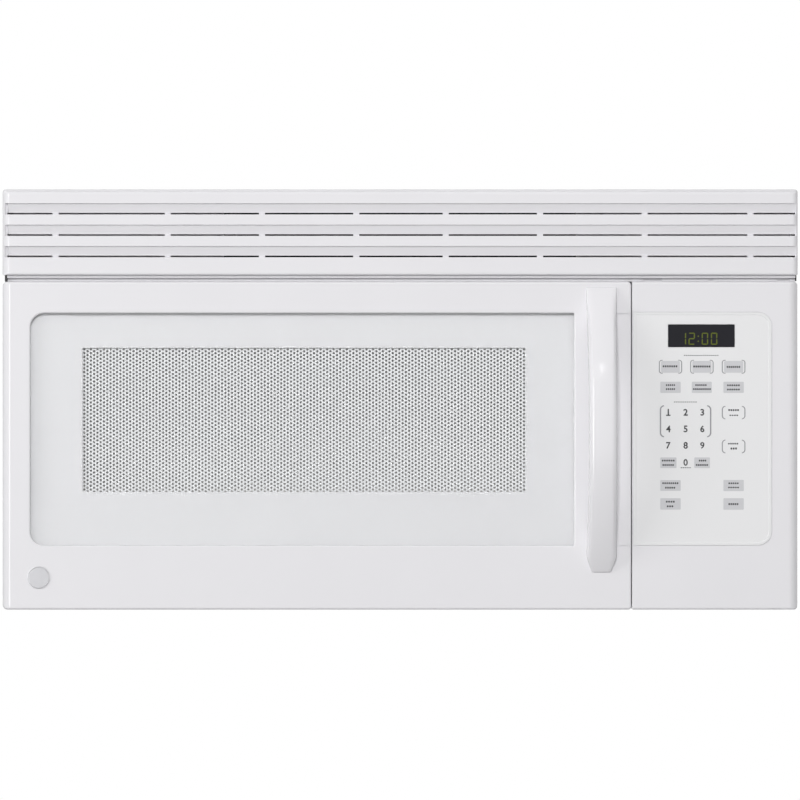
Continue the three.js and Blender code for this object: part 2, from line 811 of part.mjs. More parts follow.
function latchBar() {
  const depth = [latchBarRear - latchBarDepth, latchBarRear];
  const bar = block(span(latchX, latchBarWidth), depth, [latchBottom, latchTop]);
  const hooks = latchHeights.map((z) => {
    const tip = latchBarRear + hookLength;
    const arm = block(span(latchX, hookThickness), [latchBarRear - 1, tip], span(z, hookHeight));
    const nose = [z - hookHeight / 2 - hookNose, z];
    return arm.add(block(span(latchX, hookThickness), [tip - hookNoseLength, tip], nose));
  });
  return joinAll([bar, ...hooks]);
}

// Closed coil standing beside the bar's front, drawn as the sleeve it fills.
function latchSpring() {
  const y = latchBarRear - latchBarDepth - springRadius - seat;
  const [low, high] = span((latchBottom + latchTop) / 2, springLength);
  return turned(sleeve(springRadius - springWire, springRadius, low, high), [latchX, y]);
}

function hingeBracket(leafSpan, pinSpan, flangeSpan) {
  const width = [pinAt[0] - leafHalf, pinAt[0] + leafHalf];
  const rear = plateFront - seat;
  return joinAll([
    block(width, [pinAt[1], rear], leafSpan),
    round('z', leafHalf, leafSpan, pinAt, screwSteps),
    round('z', pinRadius, pinSpan, pinAt, screwSteps),
    block(width, [rear - caseInset, rear], flangeSpan),
  ]);
}

function upperHingeBracket() {
  const leaf = [leafTop, leafTop + leafThickness];
  return hingeBracket(leaf, [doorTop - pinLength, leaf[1]], [leaf[1] - leafFlange, leaf[1]]);
}

function lowerHingeBracket() {
  const leaf = [doorBottom + leafRise, doorBottom + leafRise + leafThickness];
  return hingeBracket(leaf, [leaf[0], notchTop + pinLength - 1], [leaf[0], leaf[0] + leafFlange]);
}

// ---------------------------------------------------------------- control panel

const overlayAt = {
  x: [panelLeft + 2 * seat, frontHalf - overlayRight],
  z: [doorBottom + overlayBottom, doorTop - overlayTop],
};
const overlayRear = doorFront + overlayRecess - seat;
const displayAt = {
  x: [overlayAt.x[0] + displayLeft, overlayAt.x[0] + displayLeft + displayWidth],
  z: [overlayAt.z[1] - displayDrop - displayHeight, overlayAt.z[1] - displayDrop],
};
const grow = ([from, to], by) => [from - by, to + by];
const panelRadii = [panelCornerLeft, panelCorner, panelCorner, panelCornerLeft];
const overlayRadii = [0, overlayCorner, overlayCorner, 0];
const panelSkinRear = doorFront + panelSkin;
const boardFront = panelSkinRear + postLength + seat;
const boardX = [panelLeft + panelSkin + boardSide, frontHalf - panelSkin - boardSide];
const boardZ = [overlayAt.z[0] + boardEnd, overlayAt.z[1] - boardEnd];

function controlPanelFrame() {
  const front = roundedOutline([panelLeft, frontHalf], [doorBottom, doorTop], panelRadii);
  const outer = alongY(front, [doorFront, plateFront - seat]);
  const inside = block(
    [panelLeft + panelSkin, frontHalf - panelSkin],
    [panelSkinRear, plateFront + 1],
    [doorBottom + panelSkin, doorTop - panelSkin],
  );
  const recess = alongY(
    roundedOutline(grow(overlayAt.x, seat), grow(overlayAt.z, seat), overlayRadii),
    [doorFront - 1, doorFront + overlayRecess],
  );
  const displayHole = block(
    grow(displayAt.x, -displayLap),
    [doorFront - 1, panelSkinRear + 1],
    grow(displayAt.z, -displayLap),
  );
  const posts = [];
  for (const x of grow(boardX, -2 * postRadius)) {
    for (const z of grow(boardZ, -2 * postRadius)) {
      const reach = [panelSkinRear - 1, panelSkinRear + postLength];
      posts.push(round('y', postRadius, reach, [x, z], screwSteps));
    }
  }
  return joinAll([cutAll(outer, [inside, recess, displayHole]), ...posts]);
}

function keyOverlay() {
  const sheet = alongY(
    roundedOutline(overlayAt.x, overlayAt.z, overlayRadii),
    [overlayRear - overlayThickness, overlayRear],
  );
  const hole = block(displayAt.x, [doorFront - overlayThickness - 1, overlayRear + 1], displayAt.z);
  return sheet.subtract(hole);
}

function displayWindow() {
  const depth = [overlayRear - overlayThickness, overlayRear];
  return block(grow(displayAt.x, -seat), depth, grow(displayAt.z, -seat));
}

function controlBoard() {
  const board = block(boardX, [boardFront, boardFront + boardThickness], boardZ);
  const display = block(
    grow(displayAt.x, -displayLap - seat),
    [doorFront + overlayRecess + seat, boardFront + 1],
    grow(displayAt.z, -displayLap - seat),
  );
  const relays = [1, 2, 3].map((i) => block(
    span(boardX[0] + i * (boardX[1] - boardX[0]) / 4, relayWidth),
    [boardFront + boardThickness / 2, boardFront + relayDepth],
    span(boardZ[0] + relayUp, relayHeight),
  ));
  return joinAll([board, display, ...relays]);
}

// ---------------------------------------------------------------- hood

function ventGrille() {
  const rear = plateFront - seat;
  const radii = [grilleLowRound, 0, 0, grilleTopRound];
  const section = roundedOutline([doorFront, rear], [grilleBottom, bodyHeight], radii);
  const inside = block(
    [-frontHalf + grilleWall, frontHalf - grilleWall],
    [doorFront + grilleDepthSkin, rear + 1],
    [grilleBottom + grilleWall, bodyHeight - grilleTopWall],
  );
  const cuts = [];
  const ribs = slitRibs.map((share) => share * frontHalf);
  const slitStarts = [-frontHalf + slitEnd, ...ribs.map((x) => x + slitRib / 2)];
  const slitEnds = [...ribs.map((x) => x - slitRib / 2), frontHalf - slitEnd];
  for (let row = 0; row < louvreRows; row += 1) {
    const top = bodyHeight - louvreTopDrop - row * louvrePitch;
    const low = top - louvreHeight;
    const louvre = outlineThrough([
      [doorFront - 1, top],
      [doorFront + louvreStep, top - louvreStep],
      [doorFront + louvreDepth, low + slitHeight],
      [doorFront + louvreDepth, low],
      [doorFront - 1, low],
    ]);
    cuts.push(alongX(louvre, [-frontHalf + slitEnd, frontHalf - slitEnd]));
    const through = [doorFront + louvreDepth - 1, doorFront + grilleDepthSkin + 1];
    slitStarts.forEach((start, i) => {
      cuts.push(block([start, slitEnds[i]], through, [low, low + slitHeight]));
    });
  }
  for (const x of grilleTabCentres) {
    const at = [x, grilleScrewY];
    const wall = [bodyHeight - grilleTopWall - 1, bodyHeight + 1];
    cuts.push(round('z', screwHead + seat, [bodyHeight - countersink, bodyHeight + 1], at, screwSteps));
    cuts.push(round('z', screwShank + screwSlack, wall, at, screwSteps));
  }
  return cutAll(alongX(section, [-frontHalf, frontHalf]), [inside, ...cuts]);
}

const louvreRows = 3;

function grilleScrew(x) {
  const headUnder = bodyHeight - countersink + seat;
  const head = round('z', screwHead, [headUnder, bodyHeight], [x, grilleScrewY], screwSteps);
  const shank = [headUnder - grilleScrewLength, headUnder + 1];
  return head.add(round('z', screwShank, shank, [x, grilleScrewY], screwSteps));
}

function charcoalFilter() {
  const low = airMouthSpan[0] + seat;
  return block(
    grow(airMouth, filterLedge / 2),
    [plateRear + seat, plateRear + seat + charcoalThickness],
    [low, low + airMouthHeight + seat],
  );
}

function ventMotor() {
  const body = round('x', blowerMotorRadius, span(0, blowerMotorWidth), [blowerY, blowerZ]);
  const foot = block(span(0, blowerMotorWidth / 2), span(blowerY, blowerMotorRadius), [roofTop, blowerZ]);
  const bore = round('x', blowerShaft + seat, span(0, 2 * blowerMotorWidth), [blowerY, blowerZ]);
  return body.add(foot).subtract(bore);
}

// Two squirrel-cage wheels on one shaft: each is a sleeve cut into blades between its hoops,
// with a disc inside.
function ventRotor() {
  const at = [blowerY, blowerZ];
  const ringSteps = 4 * blowerBladePairs;
  const hoopInside = blowerWheelRadius - blowerBladeDepth;
  const pieces = [round('x', blowerShaft, span(0, 2 * wheelOffset + blowerWheelWidth), at, ringSteps / 2)];
  for (const side of [-1, 1]) {
    const middle = side * wheelOffset;
    const width = span(middle, blowerWheelWidth);
    const cuts = [round('x', hoopInside, grow(width, 1), at, ringSteps)];
    for (let i = 0; i < blowerBladePairs; i += 1) {
      const bladeWidth = blowerWheelWidth - 2 * blowerHoop;
      const gap = new THREE.BoxGeometry(bladeWidth, 3 * blowerWheelRadius, blowerBladeGap);
      gap.rotateX(i * HALF_TURN / blowerBladePairs).translate(middle, blowerY, blowerZ);
      cuts.push(solidFrom(gap));
    }
    pieces.push(cutAll(round('x', blowerWheelRadius, width, at, ringSteps), cuts));
    pieces.push(round('x', hoopInside + 1, span(middle, blowerHoop), at, ringSteps));
  }
  return joinAll(pieces);
}

// Blower housing: a box round one wheel, open at the inlets on both sides and at the top.
function ventScroll(side) {
  const x = span(side * wheelOffset, scrollWidth);
  const y = span(blowerY, scrollDepth);
  const z = [roofTop, caseCeiling - seat];
  const corner = scrollDepth / 5;
  const shell = alongX(roundedOutline(y, z, [corner, corner, 0, 0]), x);
  const insideOutline = roundedOutline(
    grow(y, -scrollSheet),
    [z[0] + scrollSheet, z[1] - scrollSheet],
    [corner - scrollSheet, corner - scrollSheet, 0, 0],
  );
  const inside = alongX(insideOutline, grow(x, -scrollSheet));
  const inlets = round('x', scrollInlet, grow(x, 1), [blowerY, blowerZ]);
  const outlet = block(grow(x, -2 * scrollSheet), exhaustSpan, [z[1] - 2 * scrollSheet, z[1] + 1]);
  return cutAll(shell, [inside, inlets, outlet]);
}

const exhaustRear = rearPanelFront - exhaustInset;
const exhaustSpan = [exhaustRear - exhaustDepth, exhaustRear];

function greaseFilter(x) {
  const z = [insideFloor, insideFloor + greaseThickness];
  const frame = block(span(x, greaseWidth), span(greaseY, greaseLength), z);
  const bay = block(
    span(x, greaseWidth - 2 * greaseFrame),
    span(greaseY, greaseLength - 2 * greaseFrame),
    [z[0] - 1, z[1] + 1],
  );
  const mesh = block(
    span(x, greaseWidth - greaseFrame),
    span(greaseY, greaseLength - greaseFrame),
    [z[0] + greaseMeshUp, z[0] + greaseMeshUp + greaseMesh],
  );
  return frame.subtract(bay).add(mesh);
}

const lampHoleX = span(lampX, lampCoverWidth);
const lampHoleY = span(lampY, lampCoverLength);
const lampScrewY = lampHoleY[0] + screwHead + 2;

// Hinged at its rear edge, which is rounded about the hinge line.
function lampCover() {
  const edge = caseSheet / 2;
  const outline = roundedOutline(grow(lampHoleY, -seat), [0, caseSheet], [0, edge, edge, 0]);
  const sheet = alongX(outline, grow(lampHoleX, -seat));
  return sheet.subtract(round('z', screwShank + seat, [-1, caseSheet + 1], [lampX, lampScrewY], screwSteps));
}

function lampCoverScrew() {
  const head = round('z', screwHead, [-seat - lampScrewHead, -seat], [lampX, lampScrewY], screwSteps);
  const shank = [-seat - lampScrewHead / 2, insideFloor + lampScrewHold];
  return head.add(round('z', screwShank, shank, [lampX, lampScrewY], screwSteps));
}

const bulbZ = insideFloor + lampSocketHeight - bulbRadius;
const socketFace = lampHoleX[1] + 1;

function lampSocket() {
  const body = block(
    [socketFace, socketFace + lampSocketDepth],
    span(lampY, 2 * bulbRadius + 4),
    [insideFloor, insideFloor + lampSocketHeight],
  );
  const mouth = [socketFace - 1, socketFace + bulbCap * 2];
  return body.subtract(round('x', bulbCap + seat, mouth, [lampY, bulbZ]));
}

function lampBulb() {
  const held = [socketFace - bulbCapOut, socketFace + bulbCap * 2 - seat];
  const cap = round('x', bulbCap, held, [lampY, bulbZ], shaftSteps);
  const globe = new THREE.SphereGeometry(bulbRadius, 12, 8);
  globe.scale(bulbLength / 2 / bulbRadius, 1, 1).translate(socketFace - bulbLength / 2 - 1, lampY, bulbZ);
  return cap.add(solidFrom(globe));
}

// ---------------------------------------------------------------- turntable

const rollerZ = cavityFloor + seat + rollerRadius;
const trayUnder = rollerZ + rollerRadius + seat;
const ringOuter = rollerTrack - rollerWidth / 2 - 2 * seat;
const rollerAngles = [0, 1, 2].map((i) => QUARTER_TURN + i * 2 * HALF_TURN / 3);

function glassTray() {
  const plate = turned([
    [0, trayUnder],
    [trayFlat, trayUnder],
    [trayRadius, trayUnder + trayRim - trayThickness / 2],
    [trayRadius, trayUnder + trayRim],
    [trayRadius - trayThickness / 2, trayUnder + trayRim],
    [trayFlat, trayUnder + trayThickness],
    [0, trayUnder + trayThickness],
  ], cavityMiddle, 2 * turnSteps);
  const lugs = rollerAngles.map((angle) => {
    const at = [
      cavityMiddle[0] + driveLugTrack * Math.cos(angle + HALF_TURN / 3),
      cavityMiddle[1] + driveLugTrack * Math.sin(angle + HALF_TURN / 3),
    ];
    return round('z', driveLugRadius, [trayUnder - couplerEngage + 1, trayUnder + 1], at, turnSteps / 2);
  });
  return joinAll([plate, ...lugs]);
}

function turntableCoupler() {
  const top = trayUnder - seat;
  const length = [floorUnder - motorSocket + seat, top - 1];
  const shaft = round('z', couplerShaft, length, cavityMiddle, screwSteps);
  const hub = round('z', couplerHub, [top - 2 * couplerEngage, top], cavityMiddle);
  const wings = rollerAngles.map((angle) => {
    const wing = new THREE.BoxGeometry(couplerWing, couplerWingWidth, couplerEngage);
    wing.translate(couplerWing / 2, 0, top - couplerEngage / 2);
    wing.rotateZ(angle).translate(cavityMiddle[0], cavityMiddle[1], 0);
    return solidFrom(wing);
  });
  return joinAll([shaft, hub, ...wings]);
}

function turntableMotor() {
  const body = round('z', motorRadius, [floorUnder - motorHeight, floorUnder], cavityMiddle);
  const ears = block(
    span(cavityMiddle[0], 2 * (motorRadius + motorEar)),
    span(cavityMiddle[1], motorEarWidth),
    [floorUnder - motorEarSheet, floorUnder],
  );
  const socket = round('z', couplerShaft + seat, [floorUnder - motorSocket, floorUnder + 1], cavityMiddle);
  return body.add(ears).subtract(socket);
}

function rollerRing() {
  const [low, high] = span(rollerZ, ringHeight);
  const ring = turned(sleeve(ringOuter - ringWidth, ringOuter, low, high), cavityMiddle, 2 * turnSteps);
  const axles = rollerAngles.map((angle) => {
    const from = ringOuter - 1;
    const to = rollerTrack + rollerWidth / 2 + 1;
    const axle = new THREE.CylinderGeometry(rollerAxle, rollerAxle, to - from, 10);
    axle.rotateZ(QUARTER_TURN).translate((from + to) / 2, 0, rollerZ);
    axle.rotateZ(angle).translate(cavityMiddle[0], cavityMiddle[1], 0);
    return solidFrom(axle);
  });
  return joinAll([ring, ...axles]);
}

function trayRoller(angle) {
  const wheel = round('x', rollerRadius, span(rollerTrack, rollerWidth), [0, rollerZ])
    .subtract(round('x', rollerBore, span(rollerTrack, 2 * rollerWidth), [0, rollerZ], screwSteps));
  const geometry = geometryFrom(wheel);
  geometry.rotateZ(angle).translate(cavityMiddle[0], cavityMiddle[1], 0);
  return solidFrom(geometry);
}

// ---------------------------------------------------------------- microwave power, fan and switches

function waveguideCover() {
  const sheet = [cavityRight - seat - micaThickness, cavityRight - seat];
  return block(sheet, span(guideY, feedWidth + 2 * micaLap), span(guideZ, feedHeight + 2 * micaLap));
}

function waveguide() {
  const y = span(guideY, guideWidth);
  const z = span(guideZ, guideHeight);
  const shell = block([sideWall, guideOuter], y, z);
  const inside = block([sideWall - 1, guideOuter - guideSheet], grow(y, -guideSheet), grow(z, -guideSheet));
  const through = [guideOuter - 2 * guideSheet, guideOuter + 1];
  const antennaHole = round('x', antennaRadius + 1, through, [guideY, guideZ]);
  return cutAll(shell, [inside, antennaHole]);
}

function magnetron() {
  const x = [guideOuter + seat, guideOuter + seat + magnetronWidth];
  const y = span(guideY, magnetronDepth);
  const z = span(guideZ, magnetronHeight);
  const antenna = round('x', antennaRadius, [x[0] - antennaLength, x[0] + 1], [guideY, guideZ]);
  const fins = [];
  const pitch = (magnetronWidth - finSlot) / finCount;
  for (let i = 0; i < finCount; i += 1) {
    const low = x[0] + finSlot + i * pitch;
    fins.push(block([low, low + finSlot], grow(y, 1), [z[1] - magnetronHeight / 3, z[1] - finSlot]));
  }
  return cutAll(block(x, y, z), fins).add(antenna);
}

const capacitorX = caseInner - capacitorSide - capacitorWidth / 2;
const transformerX = capacitorX - capacitorWidth / 2 - coreGap - coreWidth / 2;
const transformerY = caseFront + transformerBack;
const coreWindow = (coreWidth - 4 * coreLimb) / 2;

function transformerCore() {
  const z = [insideFloor, insideFloor + coreHeight];
  const body = block(span(transformerX, coreWidth), span(transformerY, coreStack), z);
  const windows = [-1, 1].map((side) => block(
    span(transformerX + side * (coreLimb + coreWindow / 2), coreWindow),
    span(transformerY, 2 * coreStack),
    [z[0] + coreLimb, z[1] - coreLimb],
  ));
  return cutAll(body, windows);
}

// A coil round the core's middle limb, filling a share of both windows.
function transformerWinding(low, high) {
  const ring = roundedOutline(
    span(transformerX, 2 * (coreLimb + coreWindow - windingGap)),
    span(transformerY, coreStack + 2 * (coreWindow - windingGap)),
    [windingRound, windingRound, windingRound, windingRound],
  );
  const limb = block(
    span(transformerX, 2 * (coreLimb + seat)),
    span(transformerY, coreStack + 2 * seat),
    [low - 1, high + 1],
  );
  return alongZ(ring, [low, high]).subtract(limb);
}

const windingLow = insideFloor + coreLimb + seat;
const windingHigh = insideFloor + coreHeight - coreLimb - seat;
const windingSplit = (windingLow + windingHigh) / 2;

function capacitor() {
  const can = roundedOutline(
    span(capacitorX, capacitorWidth),
    [insideFloor, insideFloor + capacitorHeight],
    [capacitorRound, capacitorRound, capacitorRound, capacitorRound],
  );
  const y = span(caseFront + capacitorBack, capacitorDepth);
  const middle = insideFloor + capacitorHeight / 2;
  const terminals = [-1, 1].map((side) => {
    const at = [capacitorX + side * terminalSpread, middle];
    return round('y', terminalRadius, [y[0] - terminalLength, y[0] + 1], at, screwSteps);
  });
  return joinAll([alongY(can, y), ...terminals]);
}

function fanShroud() {
  const width = [sideWall + seat, caseInner - seat];
  const height = [insideFloor, fanHeight + fanHole + fanBar];
  const plate = block(width, [fanY, fanY + fanSheet], height);
  const hole = round('y', fanHole, [fanY - 1, fanY + fanSheet + 1], [fanX, fanHeight], 2 * turnSteps);
  const bar = block(span(fanX, 2 * fanHole + fanBar), [fanY, fanBarRear], span(fanHeight, fanBar));
  const shaftHole = round('y', fanShaft + seat, [fanY - 1, fanBarRear + 1], [fanX, fanHeight], shaftSteps);
  return plate.subtract(hole).add(bar).subtract(shaftHole);
}

function fanMotor() {
  const from = fanBarRear + seat;
  const body = round('y', fanMotorRadius, [from, from + fanMotorLength], [fanX, fanHeight]);
  const depth = [from - 1, from + fanMotorLength / 2];
  return body.subtract(round('y', fanShaft + seat, depth, [fanX, fanHeight], shaftSteps));
}

function fanBlade() {
  const hub = [fanY - seat - fanHubLength, fanY - seat];
  const shaftEnd = fanBarRear + fanMotorLength / 2;
  const pieces = [
    round('y', fanHub, hub, [fanX, fanHeight]),
    round('y', fanShaft, [hub[1] - 1, shaftEnd], [fanX, fanHeight], shaftSteps),
  ];
  for (let i = 0; i < fanBladeCount; i += 1) {
    const blade = new THREE.BoxGeometry(fanRadius - fanHub / 2, fanBladeSheet, fanBladeChord);
    blade.rotateX(fanBladePitch * HALF_TURN / 180).translate((fanRadius + fanHub / 2) / 2, 0, 0);
    blade.rotateY(i * 2 * HALF_TURN / fanBladeCount);
    blade.translate(fanX, (hub[0] + hub[1]) / 2 - 1, fanHeight);
    pieces.push(solidFrom(blade));
  }
  return joinAll(pieces);
}

const latchSlotLeft = latchX - hookThickness / 2 - latchSwingRoom;
const latchBoardX = [latchSlotLeft - 2 * latchBoardWall, latchX + latchBoardReach];
const latchBoardY = [caseFront, caseFront + latchBoardDepth];

function latchBoard() {
  const z = [latchHeights[0] - latchBoardEnd, latchHeights[1] + latchBoardEnd];
  const tray = block(latchBoardX, latchBoardY, z);
  const slots = latchHeights.map((height) => latchSlot(height, grow(latchBoardY, 1)));
  const bays = latchHeights.map((height) => block(
    [switchFace - plungerOut - seat, latchBoardX[1] + 1],
    [latchBoardY[0] + latchBoardWall, latchBoardY[1] + 1],
    span(height, switchHeight + 2 * seat),
  ));
  return cutAll(tray, [...slots, ...bays]);
}

const switchFace = latchX + hookThickness / 2 + latchSwingRoom + plungerOut;
const plungerY = latchBoardY[0] + latchBoardWall + seat + plungerBack;

function interlockSwitch(z) {
  const y = [latchBoardY[0] + latchBoardWall + seat, latchBoardY[0] + latchBoardWall + seat + switchLength];
  const body = block([switchFace, switchFace + switchWidth], y, span(z, switchHeight));
  const depth = [switchFace - 1, switchFace + switchWidth / 2];
  const bore = round('x', plungerRadius + seat, depth, [plungerY, z], screwSteps);
  return body.subtract(bore);
}

function interlockPlunger(z) {
  const inner = switchFace + switchWidth / 2 - plungerTravel - seat;
  return round('x', plungerRadius, [switchFace - plungerOut, inner], [plungerY, z], screwSteps);
}

function cordGland() {
  const under = caseCeiling - seat;
  const low = under - glandGrip;
  const over = caseTop + seat;
  return turned([
    [glandBore, low],
    [glandRadius, low],
    [glandBarb, under],
    [glandRadius, under],
    [glandRadius, over],
    [glandFlange, over],
    [glandFlange, over + glandFlangeHeight],
    [glandBore, over + glandFlangeHeight],
    [glandBore, low],
  ], glandAt);
}

// ---------------------------------------------------------------- assembly

const finishes = {
  galvanised: { color: 0xb9bcbf, roughness: 0.45, metalness: 0.8 },
  whitePaint: { color: 0xe9e8ea, roughness: 0.35, metalness: 0.0 },
  greyPaint: { color: 0xc9cacc, roughness: 0.4, metalness: 0.1 },
  whitePlastic: { color: 0xe7e6e9, roughness: 0.22, metalness: 0.0 },
  screenPaint: { color: 0xc8c8ca, roughness: 0.4, metalness: 0.0 },
  chokePlastic: { color: 0x9a9a9c, roughness: 0.5, metalness: 0.0 },
  glass: { color: 0xdfe4e6, roughness: 0.05, metalness: 0.0 },
  smokedLens: { color: 0x25252a, roughness: 0.1, metalness: 0.0 },
  membrane: { color: 0xe5e5e8, roughness: 0.35, metalness: 0.0 },
  badge: { color: 0xc8c8cb, roughness: 0.25, metalness: 0.3 },
  zincSteel: { color: 0xa9abae, roughness: 0.35, metalness: 0.9 },
  aluminium: { color: 0xbfc1c3, roughness: 0.4, metalness: 0.9 },
  charcoal: { color: 0x2c2c2c, roughness: 0.9, metalness: 0.0 },
  blackPlastic: { color: 0x1f1f20, roughness: 0.5, metalness: 0.0 },
  ceramicWhite: { color: 0xe6e2da, roughness: 0.5, metalness: 0.0 },
  boardGreen: { color: 0x2f5b3a, roughness: 0.6, metalness: 0.0 },
  ironCore: { color: 0x5a5652, roughness: 0.6, metalness: 0.6 },
  copper: { color: 0xa8613a, roughness: 0.45, metalness: 0.7 },
  mica: { color: 0xb9a98a, roughness: 0.6, metalness: 0.0 },
  nylon: { color: 0xdcdad2, roughness: 0.5, metalness: 0.0 },
};

const microwave = new THREE.Group();

function add(name, solid, finish) {
  const mesh = new THREE.Mesh(geometryFrom(solid), new THREE.MeshStandardMaterial(finishes[finish]));
  mesh.name = name;
  microwave.add(mesh);
}

add('wall_plate', wallPlate(), 'galvanised');
add('outer_case', outerCase(), 'whitePaint');
add('rear_panel', rearPanel(), 'galvanised');
add('base_panel', basePanel(), 'greyPaint');
add('front_plate', frontPlate(), 'whitePaint');
add('cavity_liner', cavityLiner(), 'whitePaint');
add('cavity_lamp', cavityLamp(), 'ceramicWhite');

add('door_frame', doorFrame(), 'whitePlastic');
add('door_window', doorWindow(), 'glass');
add('door_screen', doorScreen(), 'screenPaint');
add('choke_cover', chokeCover(), 'chokePlastic');
add('door_handle', doorHandle(), 'whitePlastic');
add('handle_screw_lower', handleScrew(handleScrewHeights[0]), 'zincSteel');
add('handle_screw_upper', handleScrew(handleScrewHeights[1]), 'zincSteel');
add('door_badge', doorBadge(), 'badge');
add('latch_bar', latchBar(), 'nylon');
add('latch_spring', latchSpring(), 'zincSteel');
add('hinge_bracket_upper', upperHingeBracket(), 'zincSteel');
add('hinge_bracket_lower', lowerHingeBracket(), 'zincSteel');

add('control_panel_frame', controlPanelFrame(), 'whitePlastic');
add('key_overlay', keyOverlay(), 'membrane');
add('display_window', displayWindow(), 'smokedLens');
add('control_board', controlBoard(), 'boardGreen');

add('vent_grille', ventGrille(), 'whitePlastic');
add('grille_screw_left', grilleScrew(grilleTabCentres[0]), 'zincSteel');
add('grille_screw_right', grilleScrew(grilleTabCentres[1]), 'zincSteel');
add('charcoal_filter', charcoalFilter(), 'charcoal');
add('vent_motor', ventMotor(), 'zincSteel');
add('vent_rotor', ventRotor(), 'blackPlastic');
add('vent_scroll_left', ventScroll(-1), 'galvanised');
add('vent_scroll_right', ventScroll(1), 'galvanised');
add('grease_filter_left', greaseFilter(greaseCentres[0]), 'aluminium');
add('grease_filter_right', greaseFilter(greaseCentres[1]), 'aluminium');
add('lamp_cover', lampCover(), 'glass');
add('lamp_cover_screw', lampCoverScrew(), 'zincSteel');
add('cooktop_lamp_socket', lampSocket(), 'ceramicWhite');
add('cooktop_lamp_bulb', lampBulb(), 'glass');

add('glass_tray', glassTray(), 'glass');
add('turntable_coupler', turntableCoupler(), 'nylon');
add('turntable_motor', turntableMotor(), 'zincSteel');
add('roller_ring', rollerRing(), 'nylon');
rollerAngles.forEach((angle, i) => add(`tray_roller_${i + 1}`, trayRoller(angle), 'nylon'));

add('waveguide', waveguide(), 'galvanised');
add('waveguide_cover', waveguideCover(), 'mica');
add('magnetron', magnetron(), 'aluminium');
add('transformer_core', transformerCore(), 'ironCore');
add('transformer_primary', transformerWinding(windingLow, windingSplit - seat), 'copper');
add('transformer_secondary', transformerWinding(windingSplit + seat, windingHigh), 'copper');
add('hv_capacitor', capacitor(), 'aluminium');
add('fan_shroud', fanShroud(), 'galvanised');
add('cooling_fan_motor', fanMotor(), 'zincSteel');
add('cooling_fan_blade', fanBlade(), 'blackPlastic');
add('latch_board', latchBoard(), 'blackPlastic');
add('interlock_switch_lower', interlockSwitch(latchHeights[0]), 'blackPlastic');
add('interlock_switch_upper', interlockSwitch(latchHeights[1]), 'blackPlastic');
add('interlock_plunger_lower', interlockPlunger(latchHeights[0]), 'nylon');
add('interlock_plunger_upper', interlockPlunger(latchHeights[1]), 'nylon');
add('cord_gland', cordGland(), 'blackPlastic');

// The origin goes to the middle of the wall plate's rear face.
microwave.position.z = -bodyHeight / 2;
microwave.updateMatrixWorld(true);

const part = new THREE.Group();
part.add(microwave);
export default part;
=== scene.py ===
"""An over the range microwave oven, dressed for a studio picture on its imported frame."""

import json
import math

import bmesh
import bpy
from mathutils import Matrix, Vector


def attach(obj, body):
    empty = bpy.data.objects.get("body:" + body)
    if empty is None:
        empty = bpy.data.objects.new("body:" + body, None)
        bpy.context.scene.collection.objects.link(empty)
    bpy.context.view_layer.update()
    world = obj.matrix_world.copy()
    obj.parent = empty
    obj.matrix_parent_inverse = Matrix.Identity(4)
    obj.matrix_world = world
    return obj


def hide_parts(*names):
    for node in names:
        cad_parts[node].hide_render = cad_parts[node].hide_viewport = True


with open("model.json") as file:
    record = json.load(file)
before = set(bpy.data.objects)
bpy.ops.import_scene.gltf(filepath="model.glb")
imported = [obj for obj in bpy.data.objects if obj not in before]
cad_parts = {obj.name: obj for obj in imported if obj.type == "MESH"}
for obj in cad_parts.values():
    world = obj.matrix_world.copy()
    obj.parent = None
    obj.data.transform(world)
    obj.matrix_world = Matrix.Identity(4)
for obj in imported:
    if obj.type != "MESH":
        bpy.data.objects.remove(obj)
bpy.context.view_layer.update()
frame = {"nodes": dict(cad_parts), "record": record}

MM = 0.001


# ---------------------------------------------------------------- shaping helpers


def put_down():
    """Back to object mode with nothing selected."""
    if bpy.context.mode != "OBJECT":
        bpy.ops.object.mode_set(mode="OBJECT")
    bpy.ops.object.select_all(action="DESELECT")


def take_up(piece):
    """Makes one piece the selected and active one."""
    put_down()
    piece.select_set(True)
    bpy.context.view_layer.objects.active = piece


def settle(name):
    """Names the new primitive and moves its place into its mesh."""
    piece = bpy.context.object
    piece.name = piece.data.name = name
    bpy.ops.object.transform_apply(location=True, rotation=True, scale=True)
    return piece


def block(name, x, y, z):
    """A block between two stations in mm on each axis, ready to be shaped."""
    put_down()
    middle = [(a + b) / 2 * MM for a, b in (x, y, z)]
    size = [abs(b - a) * MM for a, b in (x, y, z)]
    bpy.ops.mesh.primitive_cube_add(size=1, location=middle, scale=size)
    return settle(name)


def rod(name, axis, radius, span, at, sides=48):
    """A round bar along one axis; at gives its two other coordinates in order."""
    put_down()
    middle = list(at)
    middle.insert("xyz".index(axis), (span[0] + span[1]) / 2)
    turn = {"x": (0, math.pi / 2, 0), "y": (math.pi / 2, 0, 0), "z": (0, 0, 0)}[axis]
    bpy.ops.mesh.primitive_cylinder_add(
        vertices=sides,
        radius=radius * MM,
        depth=abs(span[1] - span[0]) * MM,
        location=[v * MM for v in middle],
        rotation=turn,
    )
    return settle(name)


def near(value, target):
    """Whether two measures in mm are as good as the same."""
    return abs(value - target) < 0.6


